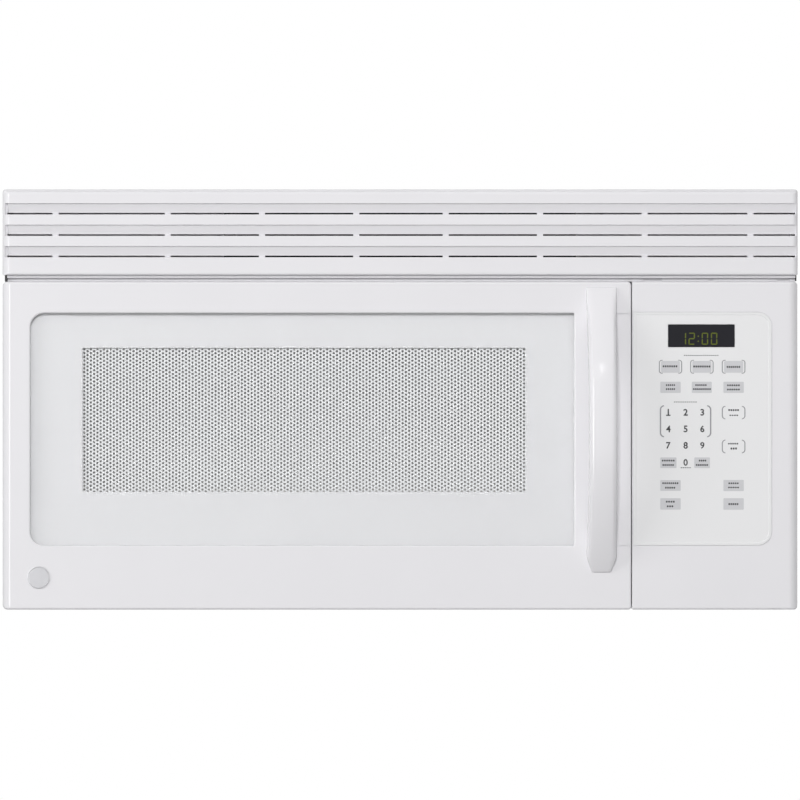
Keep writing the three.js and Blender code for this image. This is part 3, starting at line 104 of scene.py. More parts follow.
def pick(piece, kind, test):
    """In edit mode, selects the points, edges or faces whose middle in mm and direction pass a test."""
    take_up(piece)
    bpy.ops.object.mode_set(mode="EDIT")
    bpy.ops.mesh.select_mode(type=kind)
    bpy.ops.mesh.select_all(action="DESELECT")
    mesh = bmesh.from_edit_mesh(piece.data)
    for item in {"VERT": mesh.verts, "EDGE": mesh.edges, "FACE": mesh.faces}[kind]:
        if kind == "VERT":
            middle, way = item.co, item.normal
        elif kind == "EDGE":
            a, b = (v.co for v in item.verts)
            middle, way = (a + b) / 2, (b - a).normalized()
        else:
            middle, way = item.calc_center_median(), item.normal
        if test(middle / MM, way):
            item.select_set(True)
    mesh.select_flush_mode()
    bmesh.update_edit_mesh(piece.data)


def bevel_picked(width, steps=4):
    """Rounds the selected edges and leaves edit mode."""
    bpy.ops.mesh.bevel(offset=width * MM, segments=steps, affect="EDGES")
    bpy.ops.object.mode_set(mode="OBJECT")


def apply_modifier(piece, kind, **settings):
    """Adds a modifier with its settings and applies it."""
    take_up(piece)
    made = piece.modifiers.new("shape", kind)
    for key, value in settings.items():
        setattr(made, key, value)
    bpy.ops.object.modifier_apply(modifier=made.name)
    return piece


def round_edges(piece, rules, steps=6):
    """Rounds a block's edges by rules: (axis along the edge, radius in mm, test of its middle in mm)."""
    widest = max(radius for _, radius, _ in rules)
    weights = piece.data.attributes.new("bevel_weight_edge", "FLOAT", "EDGE")
    for edge in piece.data.edges:
        a, b = (piece.data.vertices[i].co / MM for i in edge.vertices)
        middle, way = (a + b) / 2, (b - a).normalized()
        for axis, radius, test in rules:
            if abs(way["xyz".index(axis)]) > 0.99 and test(*middle):
                weights.data[edge.index].value = radius / widest
    return apply_modifier(piece, "BEVEL", width=widest * MM, segments=steps, limit_method="WEIGHT")


def ease(piece, width, steps, angle):
    """Rounds the edges whose faces turn by more than an angle in radians."""
    return apply_modifier(
        piece, "BEVEL", width=width * MM, segments=steps, limit_method="ANGLE", angle_limit=angle
    )


def cut(piece, *cutters):
    """Takes each cutter's shape out of the piece."""
    for cutter in cutters:
        apply_modifier(piece, "BOOLEAN", object=cutter, operation="DIFFERENCE", solver="EXACT")
        bpy.data.objects.remove(cutter)
    return piece


def gather(name, *pieces):
    """Joins pieces into one object."""
    take_up(pieces[0])
    for piece in pieces[1:]:
        piece.select_set(True)
    bpy.ops.object.join()
    pieces[0].name = pieces[0].data.name = name
    return pieces[0]


def twin(piece, name, shift):
    """A copy with its own mesh, moved by so many mm."""
    copy = piece.copy()
    copy.data = piece.data.copy()
    copy.name = copy.data.name = name
    bpy.context.scene.collection.objects.link(copy)
    take_up(copy)
    copy.location = Vector(shift) * MM
    bpy.ops.object.transform_apply(location=True, rotation=True, scale=True)
    return copy


def repeat(piece, count, step):
    """Repeats a piece so many times, each copy a step in mm on from the last."""
    return apply_modifier(
        piece,
        "ARRAY",
        count=count,
        use_relative_offset=False,
        use_constant_offset=True,
        constant_offset_displace=[v * MM for v in step],
    )


def pierced_cell(name, sides, radius, place, turn, web, deep):
    """One cell of a net: a flat polygon with an open middle, its rim turned in by deep."""
    put_down()
    bpy.ops.mesh.primitive_circle_add(
        vertices=sides,
        radius=radius * MM,
        fill_type="NGON",
        location=[v * MM for v in place],
        rotation=turn,
    )
    cell = settle(name)
    take_up(cell)
    bpy.ops.object.mode_set(mode="EDIT")
    bpy.ops.mesh.select_all(action="SELECT")
    bpy.ops.mesh.inset(thickness=web * MM)
    bpy.ops.mesh.extrude_region_move(TRANSFORM_OT_translate={"value": [v * MM for v in deep]})
    bpy.ops.mesh.delete(type="FACE")
    bpy.ops.object.mode_set(mode="OBJECT")
    return cell


def dress(piece, body, finish, stands_for=(), crease=32, weigh=True):
    """Smooths the piece, gives it its finish and hangs it on its body."""
    take_up(piece)
    bpy.ops.object.shade_smooth_by_angle(angle=math.radians(crease))
    if weigh:
        apply_modifier(piece, "WEIGHTED_NORMAL", keep_sharp=True)
    for name in [a.name for a in piece.data.attributes if a.name.startswith("bevel_weight")]:
        piece.data.attributes.remove(piece.data.attributes[name])
    piece.data.materials.clear()
    piece.data.materials.append(finish)
    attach(piece, body)
    if stands_for:
        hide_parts(*stands_for)
    return piece


# ---------------------------------------------------------------- finishes


def tone(code):
    """An sRGB hex colour as the linear values that the shaders take."""
    parts = [int(code[i : i + 2], 16) / 255 for i in (1, 3, 5)]
    return [c / 12.92 if c <= 0.04045 else ((c + 0.055) / 1.055) ** 2.4 for c in parts] + [1]


def add_node(tree, kind, settings=None, links=None):
    """Adds one node; settings are its own properties or its inputs' values, links its inputs' sources."""
    made = tree.nodes.new(kind)
    for key, value in (settings or {}).items():
        if isinstance(key, str) and hasattr(made, key):
            setattr(made, key, value)
        else:
            made.inputs[key].default_value = value
    for key, source in (links or {}).items():
        tree.links.new(source, made.inputs[key])
    return made


def new_finish(name):
    """An empty material: its node tree, its surface shader and the place on the object."""
    made = bpy.data.materials.new(name)
    made.use_nodes = True
    tree = made.node_tree
    place = add_node(tree, "ShaderNodeTexCoord").outputs["Object"]
    return made, tree, tree.nodes["Principled BSDF"], place


def blend(tree, first, second, share):
    """Two colours mixed by a share that another node gives."""
    colours = {"data_type": "RGBA", 6: tone(first), 7: tone(second)}
    return add_node(tree, "ShaderNodeMix", colours, {0: share}).outputs[2]


def relief(tree, height, depth, strength=1.0, invert=False):
    """A normal that rises and falls with a height, so many mm deep."""
    settings = {"Strength": strength, "Distance": depth * MM, "invert": invert}
    return add_node(tree, "ShaderNodeBump", settings, {"Height": height}).outputs["Normal"]


def mottle(tree, place, size, dark, light):
    """Two colours drifting into each other in blotches of so many mm."""
    drift = add_node(tree, "ShaderNodeTexNoise", {"Scale": 1000 / size, "Detail": 3.0}, {"Vector": place})
    return blend(tree, dark, light, drift.outputs["Fac"])


def dimple(tree, place, size, depth):
    """A fine unevenness of so many mm across and deep, as a normal."""
    swell = add_node(tree, "ShaderNodeTexNoise", {"Scale": 1000 / size, "Detail": 2.0}, {"Vector": place})
    return relief(tree, swell.outputs["Fac"], depth)


def coated(name, dark, light, blotch, roughness, grain, depth, metal=0.0):
    """A finish with a drifting colour and a fine relief, blotch and grain being their sizes in mm."""
    made, tree, shader, place = new_finish(name)
    shader.inputs["Roughness"].default_value = roughness
    shader.inputs["Metallic"].default_value = metal
    tree.links.new(mottle(tree, place, blotch, dark, light), shader.inputs["Base Color"])
    tree.links.new(dimple(tree, place, grain, depth), shader.inputs["Normal"])
    return made


# Injection moulded ABS, polished tool: a clean cool white with soft wide highlights.
# Its orange peel is under a millimetre across and is drawn at 5 mm.
gloss_abs = coated("gloss white ABS", "#E6E5E8", "#E9E8EB", 60, 0.24, 5, 0.006)
handle_abs = coated("handle white ABS", "#E8E7EA", "#EBEAED", 60, 0.14, 5, 0.004)
# Polycarbonate key film, screen printed from behind: satin, a shade greyer than the mouldings.
key_film = coated("satin key film", "#E9E9EA", "#EBEBEC", 45, 0.34, 4, 0.004)
# Screen ink on the film: even, faintly rough, a mid grey behind the words of a key.
key_grey = coated("key grey ink", "#CBCBCE", "#D0D0D3", 6, 0.4, 2, 0.002)
key_line = coated("key line ink", "#8E8E92", "#98989C", 6, 0.4, 2, 0.002)
key_black = coated("key black ink", "#2A2A2D", "#343437", 5, 0.4, 2, 0.002)
# Ceramic frit baked on the back of the glass: a flat bluish white.
border_frit = coated("white glass frit", "#DAD9DC", "#DDDCDF", 40, 0.5, 3, 0.003)
# Electrostatic enamel on perforated steel: thin, white and matt, since it lies behind glass.
screen_enamel = coated("white screen enamel", "#EAEAEC", "#EEEEF0", 12, 0.6, 3, 0.01)
screen_enamel.node_tree.nodes["Principled BSDF"].inputs["Specular IOR Level"].default_value = 0.15
# Porcelain enamel on the oven's walls: hard, white, slightly wavy.
liner_enamel = coated("white oven enamel", "#E0DFDD", "#E6E5E3", 30, 0.22, 4, 0.02)
# Powder coat on sheet steel: even colour under a fine orange peel, drawn at 3 mm.
case_paint = coated("white powder coat", "#E4E3E5", "#E8E7E9", 80, 0.38, 3, 0.02)
base_paint = coated("light grey powder coat", "#C5C6C8", "#CACBCD", 70, 0.42, 3, 0.02)
# Polypropylene moulding, textured tool: dull grey.
choke_pp = coated("grey choke polypropylene", "#949496", "#9C9C9E", 20, 0.5, 2, 0.02)
# Smoked acrylic lens over the clock, its face coated against reflections: nearly black.
smoked_acrylic = coated("smoked acrylic", "#232328", "#27272C", 30, 0.08, 8, 0.002)
smoked_acrylic.node_tree.nodes["Principled BSDF"].inputs["Specular IOR Level"].default_value = 0.12
# The clock's lit segments: their dim olive glow is painted into the base colour, with no emission.
clock_painted_glow = coated("clock segments painted glow", "#5C6428", "#66702E", 3, 0.3, 2, 0.002)
clock_painted_glow.node_tree.nodes["Principled BSDF"].inputs["Specular IOR Level"].default_value = 0.12
# Nickel plated plastic: pale grey with a soft metal sheen.
badge_nickel = coated("satin nickel badge", "#B8B8BB", "#C2C2C5", 5, 0.3, 1.5, 0.004, 0.35)
# Pressed steel with bright zinc plate: grey, faintly blue, softly mottled.
zinc_plate = coated("bright zinc plate", "#9FA3A8", "#B0B2B4", 6, 0.34, 2, 0.01, 1.0)
# Mill finished aluminium strip: pale, a little cloudy.
mill_aluminium = coated("mill aluminium", "#B7B9BB", "#C6C8CA", 8, 0.36, 2, 0.01, 1.0)
# Glass filled nylon and blow moulded ABS: dull black with a fine tool texture.
black_abs = coated("black textured ABS", "#1C1C1D", "#232324", 10, 0.5, 1.5, 0.02)
# Unglazed steatite: chalky, slightly warm.
steatite = coated("unglazed steatite", "#E2DED6", "#E9E5DE", 4, 0.6, 1, 0.02)
# Uncoloured nylon: milky with a waxy shine.
milky_nylon = coated("natural nylon", "#D6D4CB", "#E0DED6", 7, 0.42, 2, 0.01)


def galvanised():
    """Hot dipped sheet steel: grey zinc whose crystals, 6 mm across, each have their own shade."""
    made, tree, shader, place = new_finish("spangled zinc sheet")
    crystals = add_node(tree, "ShaderNodeTexVoronoi", {"Scale": 1000 / 6}, {"Vector": place})
    grey = add_node(tree, "ShaderNodeSeparateColor", {}, {"Color": crystals.outputs["Color"]})
    shade = blend(tree, "#A6AAAE", "#C3C6C9", grey.outputs["Red"])
    dull = add_node(
        tree, "ShaderNodeMapRange", {"To Min": 0.32, "To Max": 0.5}, {"Value": grey.outputs["Green"]}
    )
    shader.inputs["Metallic"].default_value = 1.0
    tree.links.new(shade, shader.inputs["Base Color"])
    tree.links.new(dull.outputs["Result"], shader.inputs["Roughness"])
    tree.links.new(dimple(tree, place, 4, 0.01), shader.inputs["Normal"])
    return made


def charcoal_bed():
    """Crushed charcoal behind a net: black grains 3 mm across that swallow the light, darker where they
    meet as painted shade and a little paler on their tops.
    """
    made, tree, shader, place = new_finish("crushed charcoal")
    grains = add_node(tree, "ShaderNodeTexVoronoi", {"Scale": 1000 / 3}, {"Vector": place})
    # Painted shade: the colour darkens towards the gaps between grains, where the relief falls.
    shade = blend(tree, "#3A3A39", "#171717", grains.outputs["Distance"])
    lumps = relief(tree, grains.outputs["Distance"], 0.8, invert=True)
    shader.inputs["Roughness"].default_value = 0.9
    tree.links.new(shade, shader.inputs["Base Color"])
    tree.links.new(lumps, shader.inputs["Normal"])
    return made


# A wave texture's scale that gives one band to each metre.
WAVE = 0.314


def wound_copper():
    """Lacquered copper wire laid in turns: a red brown drum ribbed at each 1.6 mm turn, its colour darker
    between the turns as painted shade and paler on them as painted sheen.
    """
    made, tree, shader, place = new_finish("lacquered copper turns")
    waves = {"bands_direction": "Z", "Scale": WAVE / (1.6 * MM), "Distortion": 0.3}
    turns = add_node(tree, "ShaderNodeTexWave", waves, {"Vector": place})
    # Painted shade and sheen: the colour follows the ribs, dark in the creases and pale on the crowns.
    shade = blend(tree, "#6E3419", "#C07A4A", turns.outputs["Fac"])
    ribs = relief(tree, turns.outputs["Fac"], 0.4)
    shader.inputs["Metallic"].default_value = 0.8
    shader.inputs["Roughness"].default_value = 0.4
    shader.inputs["Coat Weight"].default_value = 0.5
    tree.links.new(shade, shader.inputs["Base Color"])
    tree.links.new(ribs, shader.inputs["Normal"])
    return made


def stacked_iron():
    """Silicon steel stampings in a stack: dark varnished edges, a line at each, drawn at 1.5 mm."""
    made, tree, shader, place = new_finish("varnished iron stack")
    waves = {"bands_direction": "Y", "Scale": WAVE / (1.5 * MM), "Distortion": 0.2}
    sheets = add_node(tree, "ShaderNodeTexWave", waves, {"Vector": place})
    shade = blend(tree, "#45413D", "#6A655F", sheets.outputs["Fac"])
    edges = relief(tree, sheets.outputs["Fac"], 0.15, 0.6)
    shader.inputs["Metallic"].default_value = 0.7
    shader.inputs["Roughness"].default_value = 0.55
    tree.links.new(shade, shader.inputs["Base Color"])
    tree.links.new(edges, shader.inputs["Normal"])
    return made


def circuit_board():
    """Solder mask over copper tracks: dark green with paler tracks some 6 mm apart."""
    made, tree, shader, place = new_finish("green solder mask")
    cells = {"feature": "DISTANCE_TO_EDGE", "Scale": 1000 / 6}
    tracks = add_node(tree, "ShaderNodeTexVoronoi", cells, {"Vector": place})
    border = {"From Min": 0.02, "From Max": 0.08}
    edge = add_node(tree, "ShaderNodeMapRange", border, {"Value": tracks.outputs["Distance"]})
    shade = blend(tree, "#4E8A58", "#23482C", edge.outputs["Result"])
    shader.inputs["Roughness"].default_value = 0.35
    tree.links.new(shade, shader.inputs["Base Color"])
    return made


def mica_sheet():
    """Split mica: layered tan flakes 9 mm across with a greasy shine."""
    made, tree, shader, place = new_finish("split mica")
    flakes = add_node(tree, "ShaderNodeTexVoronoi", {"Scale": 1000 / 9}, {"Vector": place})
    grey = add_node(tree, "ShaderNodeSeparateColor", {}, {"Color": flakes.outputs["Color"]})
    shade = blend(tree, "#A8967A", "#C4B595", grey.outputs["Blue"])
    shader.inputs["Roughness"].default_value = 0.38
    tree.links.new(shade, shader.inputs["Base Color"])
    return made


def clear_glass(name, colour, roughness):
    """Float glass: see-through, with light let straight through to what lies behind it."""
    made, tree, shader, place = new_finish(name)
    shader.inputs["Roughness"].default_value = roughness
    shader.inputs["IOR"].default_value = 1.5
    shader.inputs["Transmission Weight"].default_value = 1.0
    tree.links.new(mottle(tree, place, 150, colour, "#FBFDFC"), shader.inputs["Base Color"])
    path = add_node(tree, "ShaderNodeLightPath")
    shaded = add_node(
        tree,
        "ShaderNodeMath",
        {"operation": "MAXIMUM"},
        {0: path.outputs["Is Shadow Ray"], 1: path.outputs["Is Diffuse Ray"]},
    )
    clear = add_node(tree, "ShaderNodeBsdfTransparent")
    sources = {0: shaded.outputs[0], 1: shader.outputs[0], 2: clear.outputs[0]}
    both = add_node(tree, "ShaderNodeMixShader", {}, sources)
    tree.links.new(both.outputs[0], tree.nodes["Material Output"].inputs["Surface"])
    return made


zinc_sheet = galvanised()
charcoal = charcoal_bed()
copper = wound_copper()
iron = stacked_iron()
board_green = circuit_board()
mica = mica_sheet()
door_glass = clear_glass("door float glass", "#FBFCFC", 0.02)
tray_glass = clear_glass("pressed tray glass", "#EEF6F3", 0.04)

node_finish = {
    "galvanised": zinc_sheet,
    "white_paint": case_paint,
    "grey_paint": base_paint,
    "screen_paint": screen_enamel,
    "white_plastic": gloss_abs,
    "choke_plastic": choke_pp,
    "glass": tray_glass,
    "smoked_lens": smoked_acrylic,
    "membrane": key_film,
    "badge": badge_nickel,
    "zinc_steel": zinc_plate,
    "aluminium": mill_aluminium,
    "charcoal": charcoal,
    "black_plastic": black_abs,
    "ceramic": steatite,
    "board": board_green,
    "iron_core": iron,
    "copper": copper,
    "mica": mica,
    "nylon": milky_nylon,
}

# ---------------------------------------------------------------- camera, light, floor

# The door's face fills the picture's width as it does the photograph's, seen from 3.5 m in front of it.
STAND_OFF = 3.887
FOCAL = 165.3

lens = bpy.data.cameras.new("camera")
lens.sensor_width = 36
lens.lens = FOCAL
lens.clip_end = 50
camera = bpy.data.objects.new("camera", lens)
camera.location = (0, -STAND_OFF, 0)
camera.rotation_euler = (math.pi / 2, 0, 0)
bpy.context.scene.collection.objects.link(camera)
bpy.context.scene.camera = camera
bpy.context.scene.view_settings.view_transform = "Standard"

sky = bpy.data.worlds.new("studio")
sky.use_nodes = True
bpy.context.scene.world = sky
tree = sky.node_tree
path = add_node(tree, "ShaderNodeLightPath")
seen = add_node(
    tree,
    "ShaderNodeMath",
    {"operation": "MAXIMUM"},
    {0: path.outputs["Is Camera Ray"], 1: path.outputs["Is Glossy Ray"]},
)
seen_or_through = add_node(
    tree,
    "ShaderNodeMath",
    {"operation": "MAXIMUM"},
    {0: seen.outputs[0], 1: path.outputs["Is Transmission Ray"]},
)
# White where it is seen, mirrored or looked through to; as a light on the surfaces it is dimmer.
level = add_node(
    tree, "ShaderNodeMapRange", {"To Min": 0.352, "To Max": 1.0}, {"Value": seen_or_through.outputs[0]}
)
back = tree.nodes["Background"]
back.inputs["Color"].default_value = (1, 1, 1, 1)
tree.links.new(level.outputs["Result"], back.inputs["Strength"])


def softbox(name, place, size, power, aim, shines=False):
    """A soft rectangular lamp at a place in metres, turned towards a point; it lights or only shines."""
    made = bpy.data.objects.new(name, bpy.data.lights.new(name, "AREA"))
    made.data.shape = "RECTANGLE"
    made.data.size, made.data.size_y = size
    made.data.energy = power
    made.location = place
    made.rotation_euler = (Vector(aim) - Vector(place)).to_track_quat("-Z", "Y").to_euler()
    made.visible_diffuse, made.visible_glossy = not shines, shines
    bpy.context.scene.collection.objects.link(made)


# Two broad lamps give the light, two small ones only the shine along the edges and on the handle.
FACE_MIDDLE = (0, -0.39, 0)
HANDLE_MIDST = (0.19, -0.42, 0.03)
softbox("front fill", (-0.2, -4.2, 1.25), (0.6, 1.2), 86, FACE_MIDDLE)
softbox("left key", (-5.1, -3.1, 1.55), (2.6, 2.6), 93, FACE_MIDDLE)
softbox("tall strip", (-1.5, -3.55, 0.1), (0.35, 2.6), 45, FACE_MIDDLE, shines=True)
softbox("upper box", (0.3, -3.13, 1.31), (0.26, 0.15), 1.15, HANDLE_MIDST, shines=True)

# The oven hangs high on its wall, so the floor is far below it and in no view's way.
FLOOR_SIZE, FLOOR_HEIGHT = 30, -3.7
put_down()
bpy.ops.mesh.primitive_plane_add(size=FLOOR_SIZE, location=(0, 0, FLOOR_HEIGHT))
floor = settle("studio_floor")
pale = bpy.data.materials.new("pale studio floor")
pale.use_nodes = True
tree = pale.node_tree
shader = tree.nodes["Principled BSDF"]
path = add_node(tree, "ShaderNodeLightPath")
sheet = blend(tree, "#DADADA", "#FAFAFA", path.outputs["Is Camera Ray"])
lift = add_node(tree, "ShaderNodeMapRange", {"To Max": 0.66}, {"Value": path.outputs["Is Camera Ray"]})
shader.inputs["Roughness"].default_value = 0.9
shader.inputs["Emission Color"].default_value = (1, 1, 1, 1)
tree.links.new(sheet, shader.inputs["Base Color"])
tree.links.new(lift.outputs["Result"], shader.inputs["Emission Strength"])
floor.data.materials.append(pale)

# ---------------------------------------------------------------- door

DOOR = {"x": (-379.5, 220.5), "y": (-387.0, -343.0), "z": (-199.8, 112.8)}
PANE = {"x": (-352.4, 165.8), "z": (-138.8, 82.7)}
HOLES = {"x": (-303.4, 120.1), "z": (-87.8, 49.8)}
PIN = (-370.5, -352.0)
HANDLE_X = 193.0
HANDLE_MIDDLE = -28.3
HANDLE_HALF = 135.5
HANDLE_LEAN = -1.2
SCREW_REACH = 120.5
SEAM_DEEP = 1.2
SEAM_HALF = 0.35


def door_shell():
    """Moulded front with a hollow back, bosses for the hinge pins and the handle's screws."""
    x, y, z = DOOR["x"], DOOR["y"], DOOR["z"]
    shell = block("door_shell", x, y, z)
    round_edges(
        shell,
        [
            ("z", 8.5, lambda px, py, pz: near(px, x[0]) and near(py, y[0])),
            ("z", 9, lambda px, py, pz: near(px, x[0]) and near(py, y[1])),
            ("z", 2.2, lambda px, py, pz: near(px, x[1]) and near(py, y[0])),
            ("x", 2.2, lambda px, py, pz: near(py, y[0])),
            ("y", 4, lambda px, py, pz: near(px, x[0])),
            ("y", 4, lambda px, py, pz: near(px, x[1]) and pz > 0),
            ("y", 3, lambda px, py, pz: near(px, x[1]) and pz < 0),
        ],
        steps=8,
    )
    hollow = block("hollow", (x[0] + 3, x[1] - 3), (y[0] + 4.5, y[1] + 5), (z[0] + 3, z[1] - 3))
    bosses = [
        block("boss", (x[0], x[0] + 22), (y[0], y[1] + 6), (z[0], z[0] + 19.8)),
        block("boss", (x[0], x[0] + 22), (y[0], y[1] + 6), (z[1] - 13, z[1])),
    ]
    for side in (-1, 1):
        place = (HANDLE_X, HANDLE_MIDDLE + side * SCREW_REACH)
        bosses.append(rod("boss", "y", 5, (y[0], -373.9), place))
    cut(hollow, *bosses)
    pane = block("opening", PANE["x"], (y[0] - 4, y[0] + 8), PANE["z"])
    round_edges(
        pane,
        [
            ("y", 13.4, lambda px, py, pz: near(px, PANE["x"][0])),
            ("y", 1, lambda px, py, pz: near(px, PANE["x"][1])),
        ],
        steps=10,
    )
    cutters = [hollow, pane]
    for side in (-1, 1):
        place = (HANDLE_X, HANDLE_MIDDLE + side * SCREW_REACH)
        cutters.append(rod("hole", "y", 2, (y[0] - 2, -370), place, 16))
    cutters.append(rod("hole", "z", 3.4, (z[1] - 11, z[1] + 2), PIN, 24))
    cutters.append(rod("hole", "z", 3.4, (z[0] - 2, z[0] + 16.8), PIN, 24))
    cutters.append(block("notch", (x[0] - 2, -363.2), (-361, y[1] + 2), (z[0] - 2, z[0] + 5.1)))
    for height in (82, -139):
        line = (height - SEAM_HALF, height + SEAM_HALF)
        cutters.append(block("seam", (HANDLE_X, x[1] + 2), (y[0] - 1, y[0] + SEAM_DEEP), line))
    cut(shell, *cutters)
    rim = (PANE["x"][0] - 0.3, PANE["x"][1] + 0.3, PANE["z"][0] - 0.3, PANE["z"][1] + 0.3)
    soften_rim(shell, y[0], rim, 1.6)
    return dress(shell, "door", gloss_abs, ["door_frame"])


def soften_rim(piece, y, rim, width, steps=4):
    """Rounds the edge of an opening in a front face."""
    take_up(piece)
    bpy.ops.object.mode_set(mode="EDIT")
    bpy.ops.mesh.select_mode(type="EDGE")
    bpy.ops.mesh.select_all(action="DESELECT")
    mesh = bmesh.from_edit_mesh(piece.data)
    for edge in mesh.edges:
        ends = [v.co / MM for v in edge.verts]
        if all(abs(p.y - y) < 0.02 and rim[0] < p.x < rim[1] and rim[2] < p.z < rim[3] for p in ends):
            edge.select_set(True)
    bmesh.update_edit_mesh(piece.data)
    bevel_picked(width, steps)


def bow_handle():
    """A bow that rises from the door and comes back to it, drawn up slice by slice."""
    foot, slices, swell = -387.3, 28, 0.35
    outer_arc, outer_rise = 254.9, 39
    inner_arc, inner_rise = 212.5, 25
    end_thick, reach = 1.6, 37.4
    narrow_from, narrowing = 121, 5.5

    def rise(up, radius, height):
        """How high an arc stands at a distance from its middle, where it has its full height."""
        return radius * math.cos(math.asin(min(1, abs(up) / radius))) - (radius - height)

    def section(up):
        """Half the width, the front and the back of the bow at a distance from its middle."""
        front = foot - end_thick - rise(up, outer_arc, outer_rise) * (reach - swell) / outer_rise
        back = foot - max(0.0, rise(up, inner_arc, inner_rise))
        half = 13 + 1.6 * (abs(up) / HANDLE_HALF) ** 3
        if up < -narrow_from:
            half -= narrowing * (-narrow_from - up) / (HANDLE_HALF - narrow_from)
        return half, front, back

    middle_x = HANDLE_X + HANDLE_LEAN
    half, front, back = section(0)
    middle_z = (HANDLE_MIDDLE - 0.5, HANDLE_MIDDLE + 0.5)
    bow = block("door_handle_bow", (middle_x - half, middle_x + half), (front, back), middle_z)
    round_edges(bow, [("z", 4.8, lambda px, py, pz: near(py, front))], steps=4)
    pick(bow, "FACE", lambda middle, way: True)
    bpy.ops.mesh.bisect(plane_co=(middle_x * MM, 0, 0), plane_no=(1, 0, 0))
    bpy.ops.object.mode_set(mode="OBJECT")
    pick(bow, "VERT", lambda middle, way: near(middle.x, middle_x) and middle.y < front + 1)
    bpy.ops.transform.translate(value=(0, -swell * MM, 0))
    bpy.ops.object.mode_set(mode="OBJECT")
    for end in (-1, 1):
        pick(bow, "FACE", lambda middle, way: way.z * end > 0.9)
        half, front, back = section(0)
        first = HANDLE_MIDDLE + 0.5 * end
        for i in range(1, slices + 1):
            up = end * HANDLE_HALF * i / slices
            wider, nearer, further = section(up)
            step = HANDLE_MIDDLE + up - first
            first = HANDLE_MIDDLE + up
            bpy.ops.mesh.extrude_region_move(TRANSFORM_OT_translate={"value": (0, 0, step * MM)})
            centre = (middle_x * MM, (front + back) / 2 * MM, first * MM)
            scale = (wider / half, (further - nearer) / (back - front), 1)
            bpy.ops.transform.resize(value=scale, center_override=centre)
            shift = ((nearer + further) - (front + back)) / 2
            bpy.ops.transform.translate(value=(0, shift * MM, 0))
            half, front, back = wider, nearer, further
        bpy.ops.object.mode_set(mode="OBJECT")
    ease(bow, 0.9, 2, 0.7)
    for side in (-1, 1):
        place = (HANDLE_X, HANDLE_MIDDLE + side * SCREW_REACH)
        cut(bow, rod("hole", "y", 1.9, (foot - 7.9, foot + 2), place, 16))
    return dress(bow, "door", handle_abs, ["door_handle"], crease=24)


def door_glass_pane():
    """Toughened pane behind the opening, its left corners round."""
    pane = block("window_glass", (-360.4, 173.8), (-382.2, -379.0), (-146.8, 90.7))
    round_edges(
        pane,
        [("y", 13.4, lambda px, py, pz: px < 0), ("y", 1, lambda px, py, pz: px > 0)],
    )
    ease(pane, 0.4, 2, 1.0)
    return dress(pane, "door", door_glass, ["door_window"])


def glass_border():
    """The printed border behind the glass, open where the screen's holes are."""
    border = block("window_border_print", (-356.0, 169.4), (-378.97, -378.82), (-142.4, 86.3))
    hole = block("opening", HOLES["x"], (-380, -378), HOLES["z"])
    round_edges(hole, [("y", 1.5, lambda px, py, pz: True)], steps=3)
    cut(border, hole)
    return dress(border, "door", border_frit, weigh=False)


def screen_pan():
    """Enamelled pan behind the glass, cut out where the perforated field shows through."""
    pan = block("screen_pan", (-356.4, 169.8), (-372.0, -346.3), (-160.8, 104.7))
    round_edges(pan, [("y", 3, lambda px, py, pz: True)], steps=3)
    cut(pan, block("hollow", (-355.2, 168.6), (-370.8, -345), (-159.6, 103.5)))
    flange = block("clamp", (-356.4, 169.8), (-378.7, -371.9), (-142.8, 86.7))
    cut(flange, block("hollow", (-355.2, 168.6), (-380, -370), (-141.6, 85.5)))
    window = [(HOLES[axis][0] - 8.6, HOLES[axis][1] + 8.6) for axis in "xz"]
    cut(pan, block("opening", window[0], (-374, -369), window[1]))
    wall = [(low - 1, high + 1) for low, high in window]
    step = block("step", wall[0], (-376.7, -371.0), wall[1])
    cut(step, block("opening", window[0], (-380, -368), window[1]))
    whole = gather("screen_pan", pan, flange, step)
    return dress(whole, "door", screen_enamel, ["door_screen"])


def perforated_field():
    """Hexagonal cells with a hole in each, made once and repeated; 2 mm apart, but drawn at 3.6."""
    pitch = 3.62
    row = pitch * math.sqrt(3) / 2
    start = (HOLES["x"][0] - 4.5, -376.5, HOLES["z"][0] - 5)
    tall, third = 41, 23
    turn = (math.pi / 2, math.pi / 6, 0)
    cell = pierced_cell("screen_holes_1", 6, pitch / math.sqrt(3), start, turn, 0.76, (0, 0.6, 0))
    gather("screen_holes_1", cell, twin(cell, "beside", (row, 0, pitch / 2)))
    repeat(cell, tall, (0, 0, pitch))
    repeat(cell, third, (2 * row, 0, 0))
    fields = [cell]
    for i in (1, 2):
        fields.append(twin(cell, f"screen_holes_{i + 1}", (i * third * 2 * row, 0, 0)))
    for field in fields:
        dress(field, "door", screen_enamel, crease=40, weigh=False)


def badge_disc():
    """A blank round badge with a raised rim."""
    disc = rod("door_badge_disc", "y", 10.5, (-388.1, -387.3), (-344.3, -169.0), 72)
    pick(disc, "FACE", lambda middle, way: way.y < -0.9)
    bpy.ops.mesh.inset(thickness=0.7 * MM)
    bpy.ops.mesh.inset(thickness=0.35 * MM)
    bpy.ops.transform.translate(value=(0, 0.3 * MM, 0))
    bpy.ops.mesh.inset(thickness=0.5 * MM)
    bpy.ops.transform.translate(value=(0, -0.12 * MM, 0))
    bpy.ops.object.mode_set(mode="OBJECT")
    ease(disc, 0.12, 2, 0.6)
    return dress(disc, "door", badge_nickel, ["door_badge"])


door_shell()
bow_handle()
door_glass_pane()
glass_border()
screen_pan()
perforated_field()
badge_disc()

# ---------------------------------------------------------------- control panel

PANEL = {"x": (221.2, 379.5), "y": (-387.0, -340.3), "z": (-199.8, 112.8)}
FILM = {"x": (222.3, 353.9), "z": (-138.3, 83.6)}
CLOCK = {"x": (255.1, 319.1), "z": (50.2, 72.2)}
# How far out each ink's face lies: the grey fields lowest, then the black marks, then the lines.
GREY_FACE, BLACK_FACE, LINE_FACE = -387.42, -387.45, -387.46
MARK_TALL = 6.4


